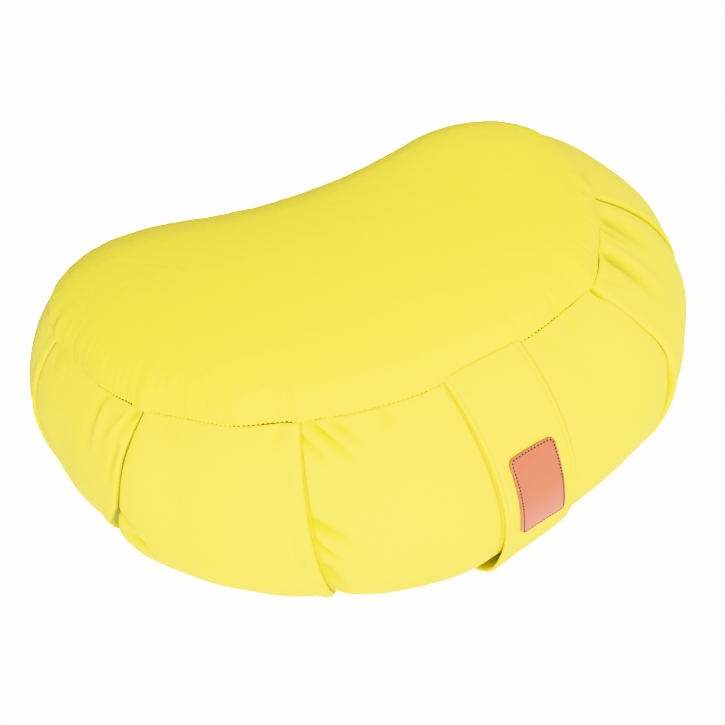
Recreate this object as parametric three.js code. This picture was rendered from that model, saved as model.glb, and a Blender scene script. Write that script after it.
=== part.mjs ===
// Crescent meditation cushion: a firmly filled kidney-shaped cushion whose side band is taken up in
// knife pleats between a top panel and a bottom panel, with a flat carry handle sewn over the side band
// and a small leather patch on the handle.
//
// Frame: millimetres, +Z up, origin under the middle of the cushion on the surface it stands on.
// +X is the long axis. The convex front, with the handle, faces -Y and the hollow back faces +Y.

import * as THREE from "three";

// Plan of the top seam: two round lobes joined by a front arc and a hollow back arc, all tangent.
const LOBE_LEFT = { x: -137.4, y: 42.7, r: 52 };
const LOBE_RIGHT = { x: 94.6, y: 45.7, r: 76 };
const FRONT_RADIUS = 181;
const BACK_RADIUS = 193;

// Height of the top seam, and how far the crown of the top panel rises above it.
const SEAM = { highest: 157.7, highestAt: 15, endDrop: 11.6, reach: 190 };
const CROWN = { middle: 33.5, leftEnd: 20, rightEnd: 30, edgeMargin: 0.025, fullness: 2.2, roll: 0.42 };
const SPINE_SAG = 70;

// Where the filled cushion departs from those arcs and from an even swell, in millimetres outwards. The
// rows stand at even steps along the seam, from the middle of the back once round anticlockwise.
const TRIM = [
  { seam: -0.3, swell: -0.1 },
  { seam: -0.8, swell: 0 },
  { seam: 0.1, swell: 0.1 },
  { seam: 2.8, swell: 0.2 },
  { seam: -2.4, swell: 0 },
  { seam: -0.3, swell: -0.8 },
  { seam: 2.2, swell: -2.9 },
  { seam: 1.1, swell: 2.9 },
  { seam: -2.7, swell: 2.5 },
  { seam: -0.5, swell: 0.9 },
  { seam: 2.5, swell: 1.7 },
  { seam: 1.7, swell: -1.1 },
  { seam: 3.7, swell: -3.1 },
  { seam: 1.5, swell: -1 },
  { seam: 1.5, swell: 2.6 },
  { seam: 1, swell: 4 },
  { seam: -1.6, swell: -2.9 },
  { seam: 0.9, swell: -6 },
  { seam: 3.9, swell: -6.6 },
  { seam: 7.1, swell: -3.6 },
  { seam: 1.2, swell: 0.9 },
  { seam: -2.4, swell: 3.1 },
  { seam: -4.3, swell: 2.2 },
  { seam: 0.8, swell: -0.2 },
  { seam: 7.7, swell: 1.6 },
  { seam: 5.3, swell: -0.4 },
  { seam: 2.3, swell: -0.5 },
  { seam: -0.2, swell: -0.2 },
];

// Swell of the side band beyond the top seam, by the way that it faces.
const SWELL = { mean: 47, right: 10.8, front: 0, ends: -3.7 };
const BACK_HOLLOW_SHARE = 0.64;
const WIDEST_AT = 0.48;
const FOOT_INSET = 7;
const FOOT_SEAM_HEIGHT = 4.4;

// Sheets.
const CLOTH = 2;
const STRAP_THICKNESS = 2.4;
const LEATHER_THICKNESS = 1.6;
const GAP = 0.3;

// Knife pleats of the side band. "at" is the distance along the top seam from the middle of the front,
// to the right; "lean" is how far the foot of the fold stands to the right of its head.
const PLEATS = [
  { name: "back_left", at: -432, lean: 0, depth: 6 },
  { name: "left_rear", at: -338, lean: 0, depth: 6 },
  { name: "left", at: -242, lean: 4, depth: 7 },
  { name: "front_left", at: -136, lean: -8, depth: 8 },
  { name: "front", at: -35, lean: 3, depth: 8 },
  { name: "front_right", at: 169, lean: 12, depth: 7 },
  { name: "right", at: 264, lean: 2, depth: 7 },
  { name: "right_rear", at: 362, lean: 0, depth: 6 },
  { name: "back_right", at: 456, lean: 0, depth: 6 },
];

// Relief of the cloth across one section between two pleats, as a share of the pleat's depth. A section
// starts low, tucked under its left neighbour, and ends high, lapping over its right neighbour.
const SECTION = [
  { share: 0, relief: -1 },
  { share: 0.04, relief: -0.55 },
  { share: 0.12, relief: -0.15 },
  { share: 0.26, relief: 0.1 },
  { share: 0.42, relief: 0.25 },
  { share: 0.58, relief: 0.3 },
  { share: 0.74, relief: 0.3 },
  { share: 0.88, relief: 0.25 },
  { share: 1, relief: 0.35 },
];
const STEP_WIDTH = 1.6;

// How deep the pleats stand from the top seam (0) down to the foot seam (1).
const PLEAT_GROWTH = [
  { down: 0, depth: 0 },
  { down: 0.05, depth: 0.45 },
  { down: 0.3, depth: 0.8 },
  { down: 0.7, depth: 1 },
  { down: 0.9, depth: 0.8 },
  { down: 1, depth: 0 },
];
const SIDE_ROWS = [0, 0.03, 0.08, 0.16, 0.26, 0.37, 0.48, 0.59, 0.7, 0.81, 0.91, 0.97, 1];
const CROWN_ROWS = [0.96, 0.66, 0.42, 0.24, 0.13, 0.06, 0.025, 0];
const FOOT_ROWS = [
  { inward: 0, rise: FOOT_SEAM_HEIGHT },
  { inward: 0.12, rise: 1.4 },
  { inward: 0.24, rise: 0 },
];

// Carry handle: a flat strap from the top seam to the foot seam, standing off the lower half of the side.
const STRAP = { at: 77.3, lean: -6, width: 55, columns: 6, rows: 22 };
const STRAP_STANDOFF = [
  { down: 0, off: 0.8 },
  { down: 0.12, off: 1.6 },
  { down: 0.42, off: 1.8 },
  { down: 0.66, off: 3.6 },
  { down: 0.84, off: 8.8 },
  { down: 0.94, off: 6 },
  { down: 1, off: 1.2 },
];

// Leather patch on the handle.
const PATCH = { across: -0.4, from: 0.29, to: 0.545, width: 32, corner: 4, columns: 4, rows: 10 };

const COLOURS = { cotton: 0xf2e452, leather: 0xe29a78 };

// Value of a table at a place between its rows, with an even or an eased run from row to row.
function between(table, key, value, at, eased) {
  const last = table.length - 1;
  let row = 0;
  while (row < last - 1 && at > table[row + 1][key]) row += 1;
  const a = table[row];
  const b = table[row + 1];
  const t = THREE.MathUtils.clamp((at - a[key]) / (b[key] - a[key]), 0, 1);
  const share = eased ? t * t * (3 - 2 * t) : t;
  return a[value] + (b[value] - a[value]) * share;
}

// Centre of an arc that passes both lobes, given how far it lies from the centre of each.
function arcCentre(toLeft, toRight) {
  const dx = LOBE_RIGHT.x - LOBE_LEFT.x;
  const dy = LOBE_RIGHT.y - LOBE_LEFT.y;
  const span = Math.hypot(dx, dy);
  const along = (toLeft ** 2 - toRight ** 2 + span ** 2) / (2 * span);
  const aside = Math.sqrt(toLeft ** 2 - along ** 2);
  return {
    x: LOBE_LEFT.x + (dx * along - dy * aside) / span,
    y: LOBE_LEFT.y + (dy * along + dx * aside) / span,
  };
}

// The four arcs of the plan, anticlockwise from the left end of the front arc. "spine" says which share
// of the spine each end of the arc looks at.
function planArcs() {
  const front = arcCentre(FRONT_RADIUS - LOBE_LEFT.r, FRONT_RADIUS - LOBE_RIGHT.r);
  const back = arcCentre(BACK_RADIUS + LOBE_LEFT.r, BACK_RADIUS + LOBE_RIGHT.r);
  const towards = (a, b) => Math.atan2(b.y - a.y, b.x - a.x);
  const turn = 2 * Math.PI;
  const arc = (c, r, from, to, side, spine) => {
    const forward = (((to - from) % turn) + turn) % turn;
    const sweep = side > 0 ? forward : forward - turn;
    return { x: c.x, y: c.y, r, from, sweep, side, spine, length: r * Math.abs(sweep) };
  };
  return [
    arc(front, FRONT_RADIUS, towards(front, LOBE_LEFT), towards(front, LOBE_RIGHT), 1, [0, 1]),
    arc(LOBE_RIGHT, LOBE_RIGHT.r, towards(front, LOBE_RIGHT), towards(LOBE_RIGHT, back), 1, [1, 1]),
    arc(back, BACK_RADIUS, towards(back, LOBE_RIGHT), towards(back, LOBE_LEFT), -1, [1, 0]),
    arc(LOBE_LEFT, LOBE_LEFT.r, towards(LOBE_LEFT, back), towards(front, LOBE_LEFT), 1, [0, 0]),
  ];
}

const ARCS = planArcs();
const SEAM_LENGTH = ARCS.reduce((sum, arc) => sum + arc.length, 0);
const FRONT_MIDDLE = ARCS[0].r * (-Math.PI / 2 - ARCS[0].from);

// Value of the trim table at a distance along the seam, on a smooth curve through its rows.
function trimAt(at, value) {
  const count = TRIM.length;
  const place = (((at + SEAM_LENGTH / 2) % SEAM_LENGTH) + SEAM_LENGTH) % SEAM_LENGTH;
  const row = Math.floor((place / SEAM_LENGTH) * count);
  const t = (place / SEAM_LENGTH) * count - row;
  const [a, b, c, d] = [-1, 0, 1, 2].map((step) => TRIM[(row + step + count) % count][value]);
  return b + 0.5 * t * (c - a + t * (2 * a - 5 * b + 4 * c - d + t * (3 * (b - c) + d - a)));
}

// Point of the top seam in plan, at a distance along it from the middle of the front.
function seamPoint(at) {
  let rest = (((FRONT_MIDDLE + at) % SEAM_LENGTH) + SEAM_LENGTH) % SEAM_LENGTH;
  let index = 0;
  while (index < ARCS.length - 1 && rest > ARCS[index].length) {
    rest -= ARCS[index].length;
    index += 1;
  }
  const arc = ARCS[index];
  const share = rest / arc.length;
  const angle = arc.from + arc.sweep * share;
  const reach = arc.r + arc.side * trimAt(at, "seam");
  return {
    at,
    x: arc.x + reach * Math.cos(angle),
    y: arc.y + reach * Math.sin(angle),
    nx: arc.side * Math.cos(angle),
    ny: arc.side * Math.sin(angle),
    bend: arc.side / arc.r,
    spine: arc.spine[0] + (arc.spine[1] - arc.spine[0]) * share,
    hollow: index === 2 ? Math.sin(Math.PI * share) : 0,
  };
}

// Point of the spine, the arc along the middle of the plan where the crown is highest.
function spinePoint(share) {
  const dx = LOBE_RIGHT.x - LOBE_LEFT.x;
  const dy = LOBE_RIGHT.y - LOBE_LEFT.y;
  const along = 2 * share - 1;
  const sag = SPINE_SAG * (1 - along * along);
  const span = Math.hypot(dx, dy);
  return {
    x: LOBE_LEFT.x + dx * share + (dy / span) * sag,
    y: LOBE_LEFT.y + dy * share - (dx / span) * sag,
  };
}

// Height of the top seam over a place along X.
function seamHeight(x) {
  const k = (x - SEAM.highestAt) / SEAM.reach;
  return SEAM.highest - SEAM.endDrop * k * k;
}

// How far the side band swells beyond the seam at its widest.
function swellAt(p) {
  const facing = Math.atan2(-p.ny, p.nx);
  const turned = SWELL.right * Math.cos(facing) + SWELL.front * Math.sin(facing);
  const swell = SWELL.mean + turned + SWELL.ends * Math.cos(2 * facing);
  return swell * (1 - (1 - BACK_HOLLOW_SHARE) * p.hollow) + trimAt(p.at, "swell");
}

// Relief of the pleats at a place on the side band, in millimetres outwards.
function pleatRelief(section, share, down) {
  const low = PLEATS[section];
  const high = PLEATS[(section + 1) % PLEATS.length];
  const relief = between(SECTION, "share", "relief", share, false);
  const depth = low.depth + (high.depth - low.depth) * share;
  return relief * depth * between(PLEAT_GROWTH, "down", "depth", down, false);
}

// Point of the side band. "down" runs from 0 at the top seam to 1 at the foot seam.
function sidePoint(section, share, down) {
  const low = PLEATS[section];
  const high = PLEATS[(section + 1) % PLEATS.length];
  const start = low.at + STEP_WIDTH / 2 + low.lean * down;
  const end = high.at + (high.at < low.at ? SEAM_LENGTH : 0) - STEP_WIDTH / 2 + high.lean * down;
  return sideAt(start + (end - start) * share, down, pleatRelief(section, share, down));
}

// The same place by its distance along the top seam, with a relief outwards.
function sideAt(at, down, relief) {
  const p = seamPoint(at);
  const lower = (0.5 * (down - WIDEST_AT)) / (1 - WIDEST_AT);
  const half = down < WIDEST_AT ? (0.5 * down) / WIDEST_AT : 0.5 + lower;
  const out = swellAt(p) * Math.sin(Math.PI * half) - FOOT_INSET * down + relief;
  const fall = 0.5 * down + 0.25 * (1 - Math.cos(Math.PI * down));
  const top = seamHeight(p.x);
  return new THREE.Vector3(p.x + p.nx * out, p.y + p.ny * out, top + (FOOT_SEAM_HEIGHT - top) * fall);
}

// Every column of the side band: the section it belongs to and its share of that section.
const COLUMNS = PLEATS.flatMap((_, section) => SECTION.map(({ share }) => ({ section, share })));

// Point of the top panel's upper face, a share of the way from the seam in to the spine.
function crownPoint(column, inward) {
  const edge = sidePoint(column.section, column.share, 0);
  const low = PLEATS[column.section];
  const high = PLEATS[(column.section + 1) % PLEATS.length];
  const end = high.at + (high.at < low.at ? SEAM_LENGTH : 0);
  const share = seamPoint(low.at + (end - low.at) * column.share).spine;
  const spine = spinePoint(share);
  const ends = 2 * share - 1;
  const peak = CROWN.middle + ((ends < 0 ? CROWN.leftEnd : CROWN.rightEnd) - CROWN.middle) * ends * ends;
  const t = Math.max(0, (inward - CROWN.edgeMargin) / (1 - CROWN.edgeMargin));
  const rise = peak * (1 - (1 - t) ** CROWN.fullness) ** CROWN.roll;
  const x = edge.x + (spine.x - edge.x) * inward;
  return new THREE.Vector3(x, edge.y + (spine.y - edge.y) * inward, seamHeight(x) + rise);
}

// A point moved in from the seam by a small distance.
function drawnIn(point, column, distance) {
  const towards = crownPoint(column, 1).sub(point).setZ(0).normalize();
  return point.clone().addScaledVector(towards, distance);
}

// Rings of the crown from the middle out to the seam, lowered by a sheet's thickness square to its slope.
function crownRings(lowered, inset) {
  return CROWN_ROWS.map((inward, row) =>
    COLUMNS.map((column) => {
      const point = crownPoint(column, inward);
      const next = crownPoint(column, CROWN_ROWS[Math.max(row - 1, 0)]);
      const outer = crownPoint(column, CROWN_ROWS[Math.min(row + 1, CROWN_ROWS.length - 1)]);
      const slope = (next.z - outer.z) / Math.hypot(next.x - outer.x, next.y - outer.y);
      point.z -= lowered * Math.min(Math.hypot(1, slope), 2);
      return inward === 0 ? drawnIn(point, column, inset) : point;
    }),
  );
}

// Rings of the underside from the foot seam in to the flat it stands on, raised by a sheet's thickness.
function footRings(raised, inset) {
  return FOOT_ROWS.map(({ inward, rise }) =>
    COLUMNS.map((column) => {
      const edge = sidePoint(column.section, column.share, 1);
      const middle = crownPoint(column, 1);
      const point = new THREE.Vector3(
        edge.x + (middle.x - edge.x) * inward,
        edge.y + (middle.y - edge.y) * inward,
        rise + raised,
      );
      return inward === 0 ? drawnIn(point, column, inset) : point;
    }),
  );
}

// A closed solid through rings of points that run anticlockwise seen from above, from a first ring whose
// inside is capped facing up, outwards and down, to a last ring that is capped facing down. From the ring
// "turn" on, the rings run back in, and the diagonals are mirrored so that facing sheets stay parallel.
function loftedSolid(rings, turn, firstCap, lastCap) {
  const count = rings[0].length;
  const index = [];
  rings.slice(1).forEach((_, row) => {
    for (let i = 0; i < count; i += 1) {
      const a = row * count + i;
      const b = row * count + ((i + 1) % count);
      const c = a + count;
      const d = b + count;
      if (row < turn) index.push(a, c, d, a, d, b);
      else index.push(a, c, b, b, c, d);
    }
  });
  const start = (rings.length - 1) * count;
  firstCap(rings[0]).forEach(([a, b, c]) => index.push(a, b, c));
  lastCap(rings[rings.length - 1]).forEach(([a, b, c]) => index.push(start + a, start + c, start + b));
  return indexedGeometry(rings.flat(), index);
}

// Triangles, facing up, that fill a flat ring.
function flatCap(ring) {
  const plan = ring.map((p) => new THREE.Vector2(p.x, p.y));
  return THREE.ShapeUtils.triangulateShape(plan, []).map(([a, b, c]) =>
    THREE.ShapeUtils.area([plan[a], plan[b], plan[c]]) > 0 ? [a, b, c] : [a, c, b],
  );
}

// Triangles, facing up, that close the narrow ring along the spine: a zip from its left end to its right
// end that always takes the shorter crossing.
function zipCap(ring) {
  const count = ring.length;
  const crossing = (a, b) => Math.hypot(ring[a].x - ring[b].x, ring[a].y - ring[b].y);
  let front = ring.reduce((left, p, i) => (p.x < ring[left].x ? i : left), 0);
  let back = (front + count - 1) % count;
  return Array.from({ length: count - 2 }, () => {
    const nextFront = (front + 1) % count;
    const nextBack = (back + count - 1) % count;
    if (crossing(nextFront, back) < crossing(front, nextBack)) {
      const face = [front, nextFront, back];
      front = nextFront;
      return face;
    }
    const face = [front, nextBack, back];
    back = nextBack;
    return face;
  });
}

function indexedGeometry(points, index) {
  const geometry = new THREE.BufferGeometry().setFromPoints(points);
  geometry.setIndex(index);
  geometry.computeVertexNormals();
  return geometry;
}

// A closed sheet between an outer and an inner grid of points, rows running down and columns to the right.
function sheetSolid(outer, inner) {
  const rows = outer.length;
  const columns = outer[0].length;
  const count = rows * columns;
  const at = (row, column) => row * columns + column;
  const index = [];
  const face = (a, b, c, d) => index.push(a, b, c, a, c, d);
  for (let row = 0; row < rows - 1; row += 1) {
    for (let column = 0; column < columns - 1; column += 1) {
      const corners = [at(row, column), at(row + 1, column), at(row + 1, column + 1), at(row, column + 1)];
      face(...corners);
      face(...corners.map((corner) => corner + count).reverse());
    }
  }
  const rim = [];
  for (let column = 0; column < columns - 1; column += 1) rim.push(at(0, column));
  for (let row = 0; row < rows - 1; row += 1) rim.push(at(row, columns - 1));
  for (let column = columns - 1; column > 0; column -= 1) rim.push(at(rows - 1, column));
  for (let row = rows - 1; row > 0; row -= 1) rim.push(at(row, 0));
  rim.forEach((corner, i) => {
    const next = rim[(i + 1) % rim.length];
    face(corner, next, next + count, corner + count);
  });
  return indexedGeometry([...outer.flat(), ...inner.flat()], index);
}

// Point of the handle's inner face: "across" in millimetres from its middle, "down" from seam to seam.
function strapPoint(across, down) {
  const section = PLEATS.findIndex((pleat) => pleat.name === "front");
  const low = PLEATS[section];
  const high = PLEATS[section + 1];
  const centre = STRAP.at + STRAP.lean * down;
  const p = seamPoint(centre);
  const middle = sideAt(centre, down, 0);
  const out = Math.hypot(middle.x - p.x, middle.y - p.y);
  const at = centre + across / (1 + out * p.bend);
  const relief = pleatRelief(section, (at - low.at) / (high.at - low.at), down);
  return sideAt(at, down, relief + between(STRAP_STANDOFF, "down", "off", down, true));
}

// Outward direction of the handle's face.
function strapNormal(across, down) {
  const above = strapPoint(across, Math.max(down - 0.01, 0));
  const below = strapPoint(across, Math.min(down + 0.01, 1));
  const aside = strapPoint(across + 1, down).sub(strapPoint(across - 1, down));
  return below.sub(above).cross(aside).normalize();
}

// A grid of points on the handle, lifted outwards from its inner face.
function strapGrid(rows, columns, place, lift) {
  return Array.from({ length: rows + 1 }, (_, row) =>
    Array.from({ length: columns + 1 }, (_unused, column) => {
      const { across, down } = place(row / rows, column / columns);
      return strapPoint(across, down).addScaledVector(strapNormal(across, down), lift);
    }),
  );
}

function cottonMaterial() {
  return new THREE.MeshStandardMaterial({ color: COLOURS.cotton, roughness: 0.9, metalness: 0 });
}

function leatherMaterial() {
  return new THREE.MeshStandardMaterial({ color: COLOURS.leather, roughness: 0.45, metalness: 0 });
}

// The filled cushion itself, with its pleated side band.
function cushionBody() {
  const crown = crownRings(CLOTH + GAP, 0);
  const side = SIDE_ROWS.map((down) => COLUMNS.map(({ section, share }) => sidePoint(section, share, down)));
  const foot = footRings(CLOTH + GAP, 0);
  return loftedSolid([...crown, ...side, ...foot], crown.length + side.length, zipCap, flatCap);
}

// The kidney-shaped panel over the crown.
function topPanel() {
  const upper = crownRings(0, GAP);
  const under = crownRings(CLOTH, GAP).reverse();
  return loftedSolid([...upper, ...under], upper.length, zipCap, zipCap);
}

// The kidney-shaped panel that the cushion stands on.
function bottomPanel() {
  const upper = footRings(CLOTH, GAP).reverse();
  const under = footRings(0, GAP);
  return loftedSolid([...upper, ...under], upper.length, flatCap, flatCap);
}

function carryHandle() {
  const place = (down, share) => ({ across: (share - 0.5) * STRAP.width, down });
  const inner = strapGrid(STRAP.rows, STRAP.columns, place, 0);
  const outer = strapGrid(STRAP.rows, STRAP.columns, place, STRAP_THICKNESS);
  return sheetSolid(outer, inner);
}

// The patch, with rounded corners, lies on the handle's outer face.
function leatherPatch() {
  const tall = strapPoint(0, PATCH.from).distanceTo(strapPoint(0, PATCH.to));
  const place = (share, side) => {
    const eased = 0.5 - 0.5 * Math.cos(Math.PI * share);
    const fromEnd = Math.min(eased, 1 - eased) * tall;
    const cut = Math.max(PATCH.corner - fromEnd, 0);
    const half = PATCH.width / 2 - PATCH.corner + Math.sqrt(PATCH.corner ** 2 - cut ** 2);
    const down = PATCH.from + (PATCH.to - PATCH.from) * eased;
    return { across: PATCH.across + (2 * side - 1) * half, down };
  };
  const lift = STRAP_THICKNESS + GAP;
  const inner = strapGrid(PATCH.rows, PATCH.columns, place, lift);
  const outer = strapGrid(PATCH.rows, PATCH.columns, place, lift + LEATHER_THICKNESS);
  return sheetSolid(outer, inner);
}

function piece(name, geometry, material) {
  const mesh = new THREE.Mesh(geometry, material);
  mesh.name = name;
  return mesh;
}

const cushion = new THREE.Group();
cushion.add(piece("cushion_body", cushionBody(), cottonMaterial()));
cushion.add(piece("top_panel", topPanel(), cottonMaterial()));
cushion.add(piece("bottom_panel", bottomPanel(), cottonMaterial()));
cushion.add(piece("carry_handle", carryHandle(), cottonMaterial()));
cushion.add(piece("leather_patch", leatherPatch(), leatherMaterial()));

export default cushion;
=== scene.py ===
# %% [markdown]
# # A crescent meditation cushion
# This lesson dresses a measured model of a meditation cushion in cotton. The real thing is a kidney-shaped
# bag, firmly filled with hulls. A plain panel closes it above and another closes it below, and the band
# between them is one long strip of cotton, taken up in knife pleats. A flat handle runs down the band, and
# a small leather patch is stitched on the handle.
#
# The imported model comes first, because every soft piece takes its place from it.

# %% Load the measured model
import math

import bmesh
import bpy
import numpy as np
from mathutils import Matrix, Vector


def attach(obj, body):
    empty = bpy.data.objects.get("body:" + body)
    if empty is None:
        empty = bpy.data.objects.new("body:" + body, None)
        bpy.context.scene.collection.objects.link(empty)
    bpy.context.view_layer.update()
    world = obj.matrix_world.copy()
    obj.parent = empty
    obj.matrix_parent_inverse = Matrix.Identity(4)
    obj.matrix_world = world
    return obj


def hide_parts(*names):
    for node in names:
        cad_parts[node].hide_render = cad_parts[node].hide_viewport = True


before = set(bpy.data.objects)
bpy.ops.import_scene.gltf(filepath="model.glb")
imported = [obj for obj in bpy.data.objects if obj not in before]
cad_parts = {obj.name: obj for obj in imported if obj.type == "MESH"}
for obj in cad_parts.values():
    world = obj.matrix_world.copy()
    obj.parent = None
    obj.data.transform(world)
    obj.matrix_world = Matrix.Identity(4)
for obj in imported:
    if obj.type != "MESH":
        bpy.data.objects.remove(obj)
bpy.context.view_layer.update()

# %% [markdown]
# ## Where the picture is taken from
# The camera stands in front of the convex side, about forty degrees up, and is rolled by eleven degrees,
# which is why the cushion looks as if it climbed to the right. A long lens from a little over a metre
# gives the same mild perspective as the photograph. The three directions of the camera are worked out
# first, and then put in a matrix as its columns, since a camera looks along its own minus Z.

# %% Camera
LOOK_AT = Vector((-0.0074, 0.0407, 0.0600))
CAMERA_AZIMUTH, CAMERA_ELEVATION, CAMERA_ROLL = (math.radians(a) for a in (-0.80, 41.12, -11.34))
CAMERA_DISTANCE = 1.11235
CAMERA_SLIDE = (-0.00862, 0.00630)
FOCAL_PIXELS, FRAME_PIXELS, SENSOR_MM = 1629.85, 725, 36
LENS_MM = FOCAL_PIXELS * SENSOR_MM / FRAME_PIXELS

toward = Vector((
    math.sin(CAMERA_AZIMUTH) * math.cos(CAMERA_ELEVATION),
    -math.cos(CAMERA_AZIMUTH) * math.cos(CAMERA_ELEVATION),
    math.sin(CAMERA_ELEVATION),
))
level = Vector((math.cos(CAMERA_AZIMUTH), math.sin(CAMERA_AZIMUTH), 0))
upright = toward.cross(level)
across = level * math.cos(CAMERA_ROLL) + upright * math.sin(CAMERA_ROLL)
upward = upright * math.cos(CAMERA_ROLL) - level * math.sin(CAMERA_ROLL)
place = LOOK_AT + toward * CAMERA_DISTANCE - across * CAMERA_SLIDE[0] - upward * CAMERA_SLIDE[1]

camera_data = bpy.data.cameras.new("photo_camera")
camera_data.lens = LENS_MM
camera_data.sensor_width = SENSOR_MM
camera = bpy.data.objects.new("photo_camera", camera_data)
bpy.context.scene.collection.objects.link(camera)
camera.matrix_world = Matrix((
    (across.x, upward.x, toward.x, place.x),
    (across.y, upward.y, toward.y, place.y),
    (across.z, upward.z, toward.z, place.z),
    (0, 0, 0, 1),
))
bpy.context.scene.camera = camera
print("camera at", [round(c, 3) for c in place], "lens", round(LENS_MM, 1), "mm")

# %% [markdown]
# ## The plan of the seam
# The seam of the top panel is drawn with four arcs, as a pattern maker would with a pair of compasses: a
# long front arc, a round lobe at each end and a hollow back arc. Arcs that share a tangent where they meet
# leave no kink. The measured model uses the same four arcs, so the cloth lies where the model has it.
# All tables below are in millimetres, and only the last step, making a mesh, turns them into metres.

# %% The four arcs
MM = 0.001
# x, y and radius of each lobe
LOBE_LEFT = (-137.4, 42.7, 52.0)
LOBE_RIGHT = (94.6, 45.7, 76.0)
FRONT_RADIUS = 181.0
BACK_RADIUS = 193.0


def arc_centre(to_left, to_right):
    """Centre of an arc, from its distance to the middle of each lobe."""
    dx, dy = LOBE_RIGHT[0] - LOBE_LEFT[0], LOBE_RIGHT[1] - LOBE_LEFT[1]
    span = math.hypot(dx, dy)
    along = (to_left**2 - to_right**2 + span**2) / (2 * span)
    aside = math.sqrt(to_left**2 - along**2)
    return (LOBE_LEFT[0] + (dx * along - dy * aside) / span, LOBE_LEFT[1] + (dy * along + dx * aside) / span)


def heading(a, b):
    """Direction from one point to another, in radians."""
    return math.atan2(b[1] - a[1], b[0] - a[0])


def arc(centre, radius, start, end, side, spine):
    """One arc: side is 1 where the cloth lies outside it, and spine the share of the spine at each end."""
    sweep = (end - start) % math.tau if side > 0 else -((start - end) % math.tau)
    return (centre[0], centre[1], radius, start, sweep, side, spine[0], spine[1])


front = arc_centre(FRONT_RADIUS - LOBE_LEFT[2], FRONT_RADIUS - LOBE_RIGHT[2])
back = arc_centre(BACK_RADIUS + LOBE_LEFT[2], BACK_RADIUS + LOBE_RIGHT[2])
ARCS = np.array([
    arc(front, FRONT_RADIUS, heading(front, LOBE_LEFT), heading(front, LOBE_RIGHT), 1, (0, 1)),
    arc(LOBE_RIGHT, LOBE_RIGHT[2], heading(front, LOBE_RIGHT), heading(LOBE_RIGHT, back), 1, (1, 1)),
    arc(back, BACK_RADIUS, heading(back, LOBE_RIGHT), heading(back, LOBE_LEFT), -1, (1, 0)),
    arc(LOBE_LEFT, LOBE_LEFT[2], heading(LOBE_LEFT, back), heading(front, LOBE_LEFT), 1, (0, 0)),
])
BACK_ARC = 2
ARC_ENDS = np.concatenate([[0], np.cumsum(ARCS[:, 2] * np.abs(ARCS[:, 4]))])
SEAM_LENGTH = float(ARC_ENDS[-1])
FRONT_MIDDLE = FRONT_RADIUS * (-math.pi / 2 - ARCS[0, 3])
print("seam of the top panel:", round(SEAM_LENGTH), "mm round")

# %% Where the filled bag leaves those arcs
# how many mm further out the seam and the swell of the band stand, at even steps from the middle of the back
TRIM = np.array([
    (-2.3, -0.1), (-2.0, 0.0), (-0.9, 0.1), (2.0, 0.2), (-2.4, 0.0), (-0.3, -0.8), (2.2, -2.9),
    (1.1, 1.9), (-2.7, 2.4), (-0.5, -0.8), (0.8, 3.6), (-0.8, 1.8), (1.2, -0.6), (-1.0, 1.5),
    (-1.0, 5.1), (-1.8, 6.6), (-4.6, 0.1), (-2.1, -1.6), (0.4, -0.8), (4.6, -0.6), (-1.4, 1.8),
    (-5.2, 3.6), (-6.4, 3.4), (-0.4, 0.4), (7.7, 1.6), (3.2, -0.4), (-0.6, -0.5), (-2.8, -0.2),
])
TRIM_SEAM, TRIM_SWELL = 0, 1


def trim(at, kind):
    """The trim at a place on the seam, on a smooth curve through the table."""
    place = (np.asarray(at, float) / SEAM_LENGTH + 0.5) % 1 * len(TRIM)
    row = np.floor(place).astype(int)
    t = place - row
    a, b, c, d = (TRIM[(row + step) % len(TRIM), kind] for step in (-1, 0, 1, 2))
    return b + 0.5 * t * (c - a + t * (2 * a - 5 * b + 4 * c - d + t * (3 * (b - c) + d - a)))


print("trim of the seam from", TRIM[:, TRIM_SEAM].min(), "to", TRIM[:, TRIM_SEAM].max(), "mm")


# %% A place on the seam
def seam(at):
    """Place, outward direction, bend, spine share and hollow of the seam, at mm from the front's middle."""
    run = (FRONT_MIDDLE + np.asarray(at, float)) % SEAM_LENGTH
    which = np.clip(np.searchsorted(ARC_ENDS, run, side="right") - 1, 0, 3)
    x, y, radius, start, sweep, side, first, last = np.moveaxis(ARCS[which], -1, 0)
    share = (run - ARC_ENDS[which]) / (radius * np.abs(sweep))
    angle = start + sweep * share
    reach = radius + side * trim(at, TRIM_SEAM)
    return {
        "at": at, "x": x + reach * np.cos(angle), "y": y + reach * np.sin(angle),
        "nx": side * np.cos(angle), "ny": side * np.sin(angle), "bend": side / radius,
        "spine": first + (last - first) * share,
        "hollow": np.where(which == BACK_ARC, np.sin(np.pi * share), 0.0),
    }


print("front's middle at", [round(float(seam(0.0)[k]), 1) for k in ("x", "y")], "mm")

# %% [markdown]
# ## How the band swells
# Between the two seams the filling pushes the band out, most a little above half way down, less in the
# hollow of the back, and a bit more on the right, where the bag is wider. This is the same rule as in the
# measured model. What the model is too coarse for, the pleats' folds and the soft creases, is added on
# top of it as a small lift, square to the seam.

# %% The band's section
# heights, widths and insets in mm; WIDEST_AT is a share of the way down
SEAM_TOP, SEAM_TOP_X = 157.7, 15.0
SEAM_FALL, SEAM_FALL_REACH = 11.6, 190.0
FOOT_SEAM = 4.4
WIDEST_AT = 0.48
FOOT_INSET = 7.0
SPINE_SAG = 70.0
SWELL, SWELL_TO_THE_RIGHT, SWELL_AT_THE_ENDS = 47, 10.8, -3.7
SWELL_LOST_IN_HOLLOW = 0.36


def seam_height(x):
    """Height of the top seam, which falls a little towards both ends."""
    return SEAM_TOP - SEAM_FALL * ((x - SEAM_TOP_X) / SEAM_FALL_REACH) ** 2


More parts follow.
